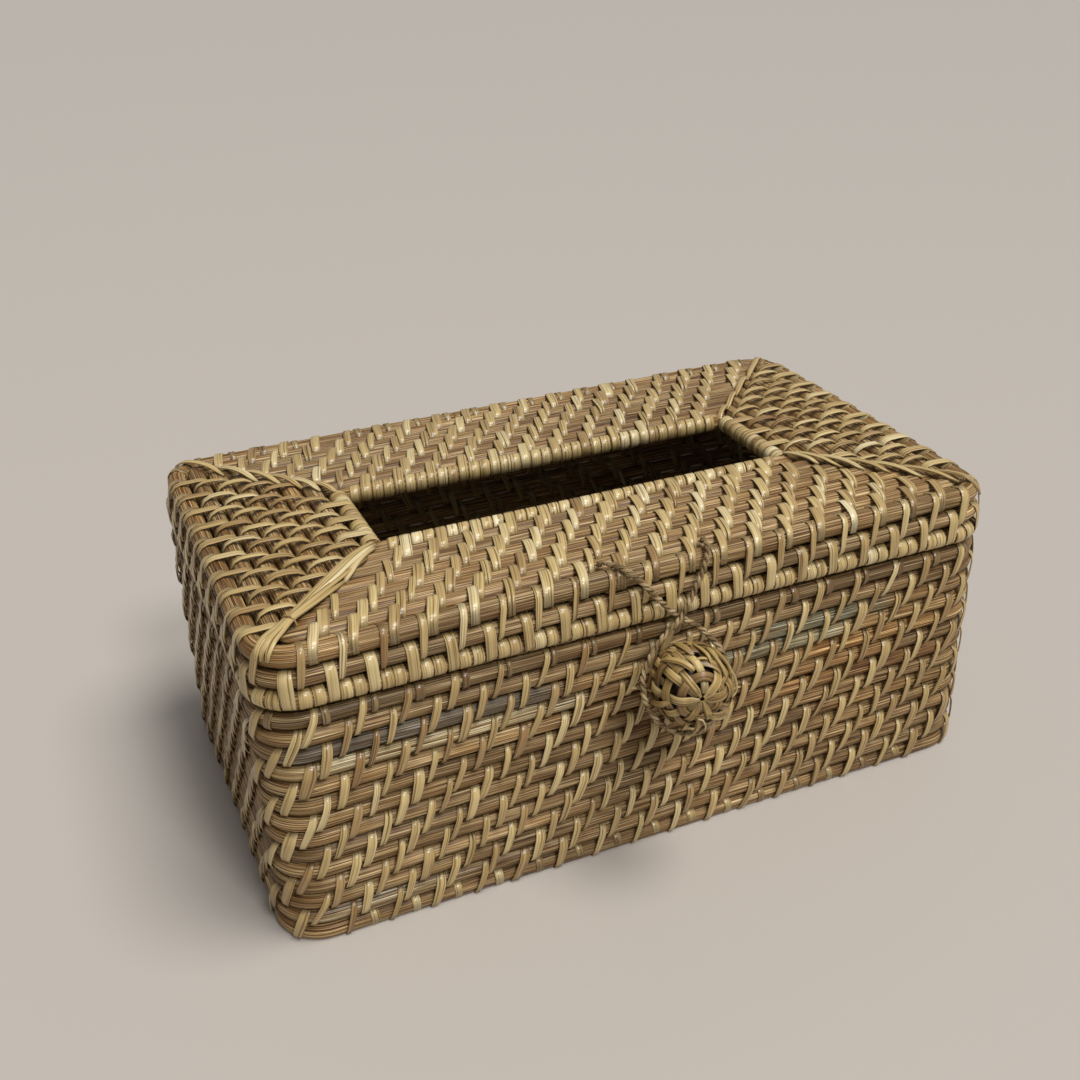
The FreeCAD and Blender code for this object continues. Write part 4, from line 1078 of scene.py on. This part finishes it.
# spokes from the star outwards: turn at the first ring, drift to the next ring, half width, tint;
# each lies over and under the rings in turn, and its neighbour the other way round
longSpokes = [(1, 8, 1.6, 0.6), (24, 9, 1.0, 0.4), (43, 11, 1.5, 0.64), (84, 12, 1.25, 0.74),
              (126, 2, 1.25, 0.66), (142, 1, 1.3, 0.64), (188, -5, 1.35, 0.74), (219, -3, 1.3, 0.6),
              (248, -3, 1.15, 0.62), (270, 0, 0.8, 0.4), (294, -3, 1.1, 0.66), (330, 3, 1.2, 0.45)]
shortSpokes = [(13, 6, 1.0, 0.5), (66, 9, 1.0, 0.55), (106, 6, 1.1, 0.5), (161, 0, 1.05, 0.55),
               (204, -2, 1.0, 0.5), (234, -2, 1.0, 0.52), (258, -2, 1.0, 0.5), (312, 0, 1.0, 0.5),
               (346, 4, 1.0, 0.5)]
# strips laid last, seen from the front: half width, its share at the start, tint, then x, y and lift
# of the line's points, in millimetres
laidStrips = [
    (1.05, 0.8, 0.62, [(-0.6, 5.2, -0.3), (-1.4, 6.1, 0.5), (-4.4, 7.8, 0.9), (-7.6, 8.2, 0.6),
                       (-9.6, 7.6, -0.3)]),
    (0.95, 0.7, 0.66, [(-6.8, 12.4, -0.3), (-5.2, 12.8, 0.3), (-2.7, 11.7, 0.8), (-0.4, 9.6, -0.2)]),
    (0.70, 0.7, 0.62, [(0.0, 12.6, -0.1), (2.4, 11.2, 0.6), (4.1, 9.4, 0.8), (5.0, 6.9, -0.2)]),
    (0.60, 0.7, 0.70, [(4.0, 11.6, 0.0), (7.0, 8.2, 0.9), (8.8, 5.2, 0.9), (9.4, 2.6, -0.2)]),
    (0.42, 0.7, 0.74, [(5.6, 11.8, 0.1), (9.0, 8.5, 1.0), (10.7, 5.8, 1.0), (11.6, 2.4, -0.1)]),
    (0.24, 0.8, 0.95, [(9.8, 7.4, 0.3), (11.6, 4.4, 0.9), (12.9, 1.6, 1.3), (13.1, -1.6, 1.2),
                       (11.8, -3.4, 0.3)]),
    (0.45, 0.8, 0.70, [(0.2, 8.4, -0.1), (1.6, 8.8, 0.3), (3.2, 8.7, 0.3), (4.4, 8.3, -0.1)]),
    (0.95, 0.8, 0.58, [(-13.0, -5.2, 0.0), (-11.4, -5.4, 0.6), (-9.6, -5.2, 0.7), (-7.4, -4.3, -0.2)]),
    (0.90, 0.8, 0.58, [(4.2, -7.6, -0.2), (5.6, -8.8, 0.7), (8.0, -8.7, 1.2), (9.8, -7.8, 1.5)]),
    (0.45, 0.8, 0.74, [(4.8, -9.2, 0.5), (6.4, -9.6, 1.4), (8.4, -9.4, 2.0), (10.2, -8.4, 2.5)]),
    (0.40, 0.8, 0.62, [(5.2, -8.0, 0.6), (7.2, -7.9, 1.4), (9.0, -7.2, 2.0), (10.4, -6.2, 2.3)]),
    (0.80, 0.8, 0.62, [(0.9, -9.0, 0.9), (1.1, -11.4, 1.4), (0.9, -13.6, 1.6), (0.3, -15.4, 1.2)]),
    (0.26, 0.8, 0.92, [(0.9, -9.4, 1.4), (2.3, -9.9, 2.0), (3.5, -12.0, 1.8), (3.3, -14.0, 1.4),
                       (2.4, -15.6, 1.0)]),
    (0.70, 0.8, 0.66, [(-2.0, -11.6, 0.6), (-2.4, -13.2, 1.0), (-3.0, -14.6, 0.8)]),
    (0.40, 1.0, 0.84, [(-12.4, -1.9, 0.0), (-14.4, -1.7, 0.3), (-16.6, -1.3, 0.6), (-18.6, -1.0, 0.8)])]
coreLow, coreHigh = sizeOf("clasp_ball_core")
ballCentre = (coreLow + coreHigh) / 2
ballRadius = sizeOf("clasp_ball_spokes")[1][0] - ballCentre[0]
ballMiddle = ballRadius - ball["thick"] - ball["weave"]
viewRight = np.array(view["right"])
viewBack = -np.array(view["ahead"])
viewUp = np.cross(viewBack, viewRight)


def fromFront(x, y, lift):
    # x and y are seen from the front and the ball's own radius gives the depth: sqrt(r^2 - x^2 - y^2)
    radius = ballRadius - ball["thick"] + lift
    depth = np.sqrt(np.maximum(radius ** 2 - x ** 2 - y ** 2, 0))
    return x[..., None] * viewRight + y[..., None] * viewUp + depth[..., None] * viewBack


def ballDirection(bend, turn):
    # unit direction at an angle from the star and a turn about it
    pole = fromFront(*(np.array(value) * millimetre for value in ball["star"]), 0)
    pole /= np.linalg.norm(pole)
    first = viewRight - pole * np.dot(viewRight, pole)
    first /= np.linalg.norm(first)
    bend, turn = np.radians(np.broadcast_arrays(bend, turn))
    flat = np.cos(turn)[..., None] * first + np.sin(turn)[..., None] * np.cross(pole, first)
    return np.sin(bend)[..., None] * flat + np.cos(bend)[..., None] * pole


def ringsGone(bend):
    return (np.asarray(bend, float) - ball["rings"][0]) / (ball["rings"][1] - ball["rings"][0])


def spokeTurn(turn, drift, bend):
    return turn + drift * np.clip(ringsGone(bend), *ball["driftRange"])


def woven(over, aim, least):
    # lines at middle + weave * over from the centre, and their shade, darker where they pass under
    lines = ballCentre + (ballMiddle + ball["weave"] * over)[..., None] * aim
    start, slope = ball["overRamp"]
    return lines, least + ball["overShade"] * np.clip(start + slope * over, 0, 1)


def spokeRibbons(name, spokes, starts):
    # centre + (middle + weave * over) * direction, where over is +1 over a ring and -1 under it
    turn, drift, half, tint = (np.array([spoke[k] for spoke in spokes], float)[:, None] for k in range(4))
    start = np.resize(starts, len(spokes))[:, None]
    bend = start + (ball["spokeTo"] - start) * np.linspace(0, 1, ball["rows"])[None]
    aim = ballDirection(bend, spokeTurn(turn, drift, bend))
    sign = 1 - 2 * (np.arange(len(spokes)) % 2)[:, None]
    over = sign * np.cos(math.pi * np.maximum(ringsGone(bend), -0.5))
    wide = half * millimetre * np.clip(bend / ball["fullFrom"], ball["tip"], 1)
    lines, shade = woven(over, aim, ball["spokeShade"])
    deep = np.where(sign < 0, np.clip((bend - start) / ball["deepTo"], 0, 1), 1)
    shade = shade * (ball["deepShade"] + (1 - ball["deepShade"]) * deep)
    return ribbons(name, lines, wide, aim, tint, shade, ball["thick"])


def ringRibbons():
    # each ring passes under the spokes that lie over it: over = -cos(pi * (spoke + ring)) between the spokes
    around = np.linspace(0, 360, ball["ringRows"], endpoint=False)
    turn, drift = (np.array([spoke[k] for spoke in longSpokes], float) for k in range(2))
    over = []
    for ring, bend in enumerate(ball["rings"]):
        spots = spokeTurn(turn, drift, bend)
        spots = np.concatenate([spots[-1:] - 360, spots, spots[:1] + 360])
        over.append(-np.cos(math.pi * (np.interp(around, spots, np.arange(len(spots)) - 1) + ring)))
    bend = np.array(ball["rings"], float)[:, None]
    sway = ball["ringSway"] * np.sin(np.radians(2 * around) + chance.uniform(0, 6, bend.shape))
    aim = ballDirection(bend + sway, around[None])
    tint = np.clip(ball["ringTint"] + ball["tintSpread"] * chance.normal(size=bend.shape), 0, 1)
    lines, shade = woven(np.stack(over), aim, ball["ringShade"])
    return ribbons("ballRings", lines, ball["ringHalf"], aim, tint, shade, ball["thick"], True)


def laidRibbons():
    # smooth lines on the ball: the width grows over the first third and thins over the last
    half, start, tint = (np.array([laid[k] for laid in laidStrips])[:, None] for k in range(3))
    lines = [smoothLine(np.array(laid[3]) * millimetre, ball["rows"]) for laid in laidStrips]
    lines = ballCentre + fromFront(*np.moveaxis(np.stack(lines), -1, 0))
    t = np.linspace(0, 1, ball["rows"])[None]
    wide = half * millimetre * (start + (1 - start) * np.clip(3 * t, 0, 1))
    wide = wide * (1 - ball["laidTip"] * np.clip(3 * t - 2, 0, 1))
    shade = 1 - ball["laidShade"] * np.abs(2 * t - 1) ** 6
    return ribbons("ballLaid", lines, wide, lines - ballCentre, tint, shade, ball["thick"])


core = {"rows": 28, "cols": 48, "bends": (2, 178), "ridges": (9, 5), "ridgeDepth": 0.35, "long": 0.04,
        "girth": 0.08, "tint": 0.05, "shade": 0.4}
stem = {"rows": 12, "plyOut": 0.00042, "plyRadius": 0.00055, "lay": 0.004,
        "look": {"sides": 8, "up": (0.0, 0.0, 1.0), "girth": 0.0035, "tint": 0.3, "shade": 0.8}}


def coreMesh():
    # wound core: a sphere with shallow ridges, cos(9 around + 5 bend), seen in the gaps
    bend = np.linspace(*core["bends"], core["rows"])[:, None]
    around = np.linspace(0, 360, core["cols"], endpoint=False)[None]
    turns, drift = core["ridges"]
    ridges = 1 + core["ridgeDepth"] * np.cos(np.radians(turns * around + drift * bend))
    reach = ballMiddle - ball["weave"] - ball["thick"] - ball["sink"] * ridges
    points = (ballCentre + reach[..., None] * ballDirection(bend, around))[None]
    marks = flatMarks(points.shape[:3], core["tint"], core["shade"])
    uLines = np.linspace(0, core["long"], core["rows"])[None]
    vLines = np.linspace(0, core["girth"], core["cols"] + 1)
    return surface("ballCore", points, uLines, vLines, False, True, marks)


def stemMesh():
    # a short twist of strip from the ball to the wall
    low, high = sizeOf("clasp_stem")
    line = np.tile((low + high) / 2, (stem["rows"], 1))
    line[:, 1] = np.linspace(low[1], high[1], stem["rows"])
    gone = line[:, 1] - low[1]
    plies = plyLines(line, gone, stem["plyOut"], stem["lay"])
    return tubes("ballStem", plies, gone[None], stem["plyRadius"], stem["look"])


def placeBall(mesh, node):
    place(mesh, "base", "ball_strip", ballFinish, node)


def makeBall():
    spokes = [spokeRibbons("ballSpokes", longSpokes, ball["longFrom"]),
              spokeRibbons("ballSpokes", shortSpokes, ball["shortFrom"]), laidRibbons()]
    placeBall(joined(spokes), "clasp_ball_spokes")
    placeBall(ringRibbons(), "clasp_ball_rings")
    placeBall(coreMesh(), "clasp_ball_core")
    placeBall(stemMesh(), "clasp_stem")
    print("ball made")


makeBall()


# twine knots on the front edge

knots = {"ringRadius": 0.0008, "plyRadius": 0.00042, "rows": 20, "tilts": (0.2, 1.2, 2.2),
         "upright": (0.0, -0.6, 0.8),
         "look": {"sides": 7, "up": (0.31, 0.77, 0.55), "girth": 0.0026, "tint": 0.5, "shade": 0.9}}


def makeKnots():
    # each knot is three small rings of twine tilted against each other: r (cos t across + sin t upright)
    low, high = sizeOf("twine_knots")
    radius = (high[2] - low[2]) / 2
    middles = np.tile(low + radius, (2, 1))
    middles[1, 0] = high[0] - radius
    turn = np.linspace(0, 2 * math.pi, knots["rows"], endpoint=False)[:, None]
    tilt = np.array(knots["tilts"])[:, None, None]
    across = np.concatenate([np.cos(tilt), 0 * tilt, np.sin(tilt)], axis=2)
    rings = knots["ringRadius"] * (np.cos(turn) * across + np.sin(turn) * np.array(knots["upright"]))
    lines = (middles[:, None, None] + rings[None]).reshape(-1, knots["rows"], 3)
    gone = np.linspace(0, 2 * math.pi * knots["ringRadius"], knots["rows"] + 1)[None]
    mesh = tubes("twineKnots", lines, gone, knots["plyRadius"], knots["look"], True)
    place(mesh, "lid", "twine", twineFinish, "twine_knots")
    print("knots made")


makeKnots()


# floor of the base: lengthwise rods, lashed to each other and to the bottom course

base = {"pitch": 0.028, "step": 0.012, "rodGap": 0.00069, "edgeRoom": 0.0034, "stations": 50,
        "look": {"width": 0.0028, "lean": 15.0, "bulge": 0.0, "tint": 0.5},
        "tieLook": {"width": 0.0028, "bulge": 0.0, "tint": 0.5}}


def makeFloor():
    low, high = sizeOf("floor_rods")
    rodZ = low[2] + rodRadius
    count = int(round((high[1] - low[1] - 2 * rodRadius) / (2 * rodRadius + base["rodGap"]))) + 1
    outs = -np.linspace(low[1] + rodRadius, high[1] - rodRadius, count) - wall["dists"][0]
    bend = wall["radius"] - base["edgeRoom"]
    halfX = wall["dists"][1] - base["edgeRoom"]
    straight = wall["dists"][0] - base["edgeRoom"] - bend

    def end(n):
        # the rods stop short of the bottom course, also where it bends
        past = np.clip(np.abs(n + wall["dists"][0]) - straight, 0, bend)
        return halfX - bend + np.sqrt(bend ** 2 - past ** 2)

    rods = [(out, rodZ, rodRadius) for out in outs]
    placeRod(straightRods("floorRods", end, rods, 0, base["stations"]), "base", "floor_rods")
    reach = (wall["runs"][0] - base["pitch"]) / 2
    groups = []
    for k in range(1, count):
        start = k * base["step"] % base["pitch"] - reach
        places = start + base["pitch"] * np.arange(int(2 * reach / base["pitch"]))
        groups.append(straightBelt(places, rods[k - 1], rods[k], base["look"]))
    placeStrips(stripMesh("floorStrips", groups, 0), "base", "floor_lashing")
    stitchStep = wall["total"] / stitch["count"]
    places = evenPlaces(stitch["count"], -(courseCount - 2) * stitch["shift"] + stitchStep / 2)
    meshes = []
    for side in (0, 2):
        u = places - ringPlace(side, 0)
        u = u[np.abs(u) < (wall["runs"][side] - stitchStep) / 2]
        group = straightBelt(u, (0.0, courseZ[-1], rodRadius), (outs[0], rodZ, rodRadius), base["tieLook"])
        meshes.append(stripMesh("floorTies", [group], side))
    placeStrips(joined(meshes), "base", "floor_edge_lashing")
    print("floor made")


makeFloor()


# floor, plain pale, and soft studio light

stage = {"half": 6.0, "colour": (186, 180, 175), "roughness": 0.4}
lamps = [{"name": "keyLamp", "from": (0.29, -0.2, 0.94), "strength": 2.05, "angle": 26.0,
          "colour": (1.0, 0.97, 0.90)},
         {"name": "frontLamp", "from": (0.12, -0.62, 0.77), "strength": 1.15, "angle": 14.0,
          "colour": (1.0, 0.98, 0.95)}]
worldLook = {"colour": (1.0, 0.98, 0.95), "strength": 0.27}


def makeStage():
    half = stage["half"]
    corners = np.array([(-half, -half, 0), (half, -half, 0), (half, half, 0), (-half, half, 0)])
    mesh = bpy.data.meshes.new("floor")
    mesh.from_pydata(corners.tolist(), [], [(0, 1, 2, 3)])
    material = bpy.data.materials.new("paleFloor")
    material.use_nodes = True
    shader = material.node_tree.nodes["Principled BSDF"]
    shader.inputs["Base Color"].default_value = tone(*stage["colour"])
    shader.inputs["Roughness"].default_value = stage["roughness"]
    mesh.materials.append(material)
    floor = bpy.data.objects.new("floor", mesh)
    bpy.context.scene.collection.objects.link(floor)
    for lamp in lamps:
        data = bpy.data.lights.new(lamp["name"], "SUN")
        data.energy = lamp["strength"]
        data.angle = math.radians(lamp["angle"])
        data.color = lamp["colour"]
        light = bpy.data.objects.new(lamp["name"], data)
        light.matrix_world = (-Vector(lamp["from"])).to_track_quat("-Z", "Y").to_matrix().to_4x4()
        bpy.context.scene.collection.objects.link(light)
    world = bpy.data.worlds.new("world")
    world.use_nodes = True
    back = world.node_tree.nodes["Background"]
    back.inputs[0].default_value = (*worldLook["colour"], 1.0)
    back.inputs[1].default_value = worldLook["strength"]
    bpy.context.scene.world = world
    bpy.context.scene.view_settings.view_transform = "Standard"
    print("stage lit")


makeStage()
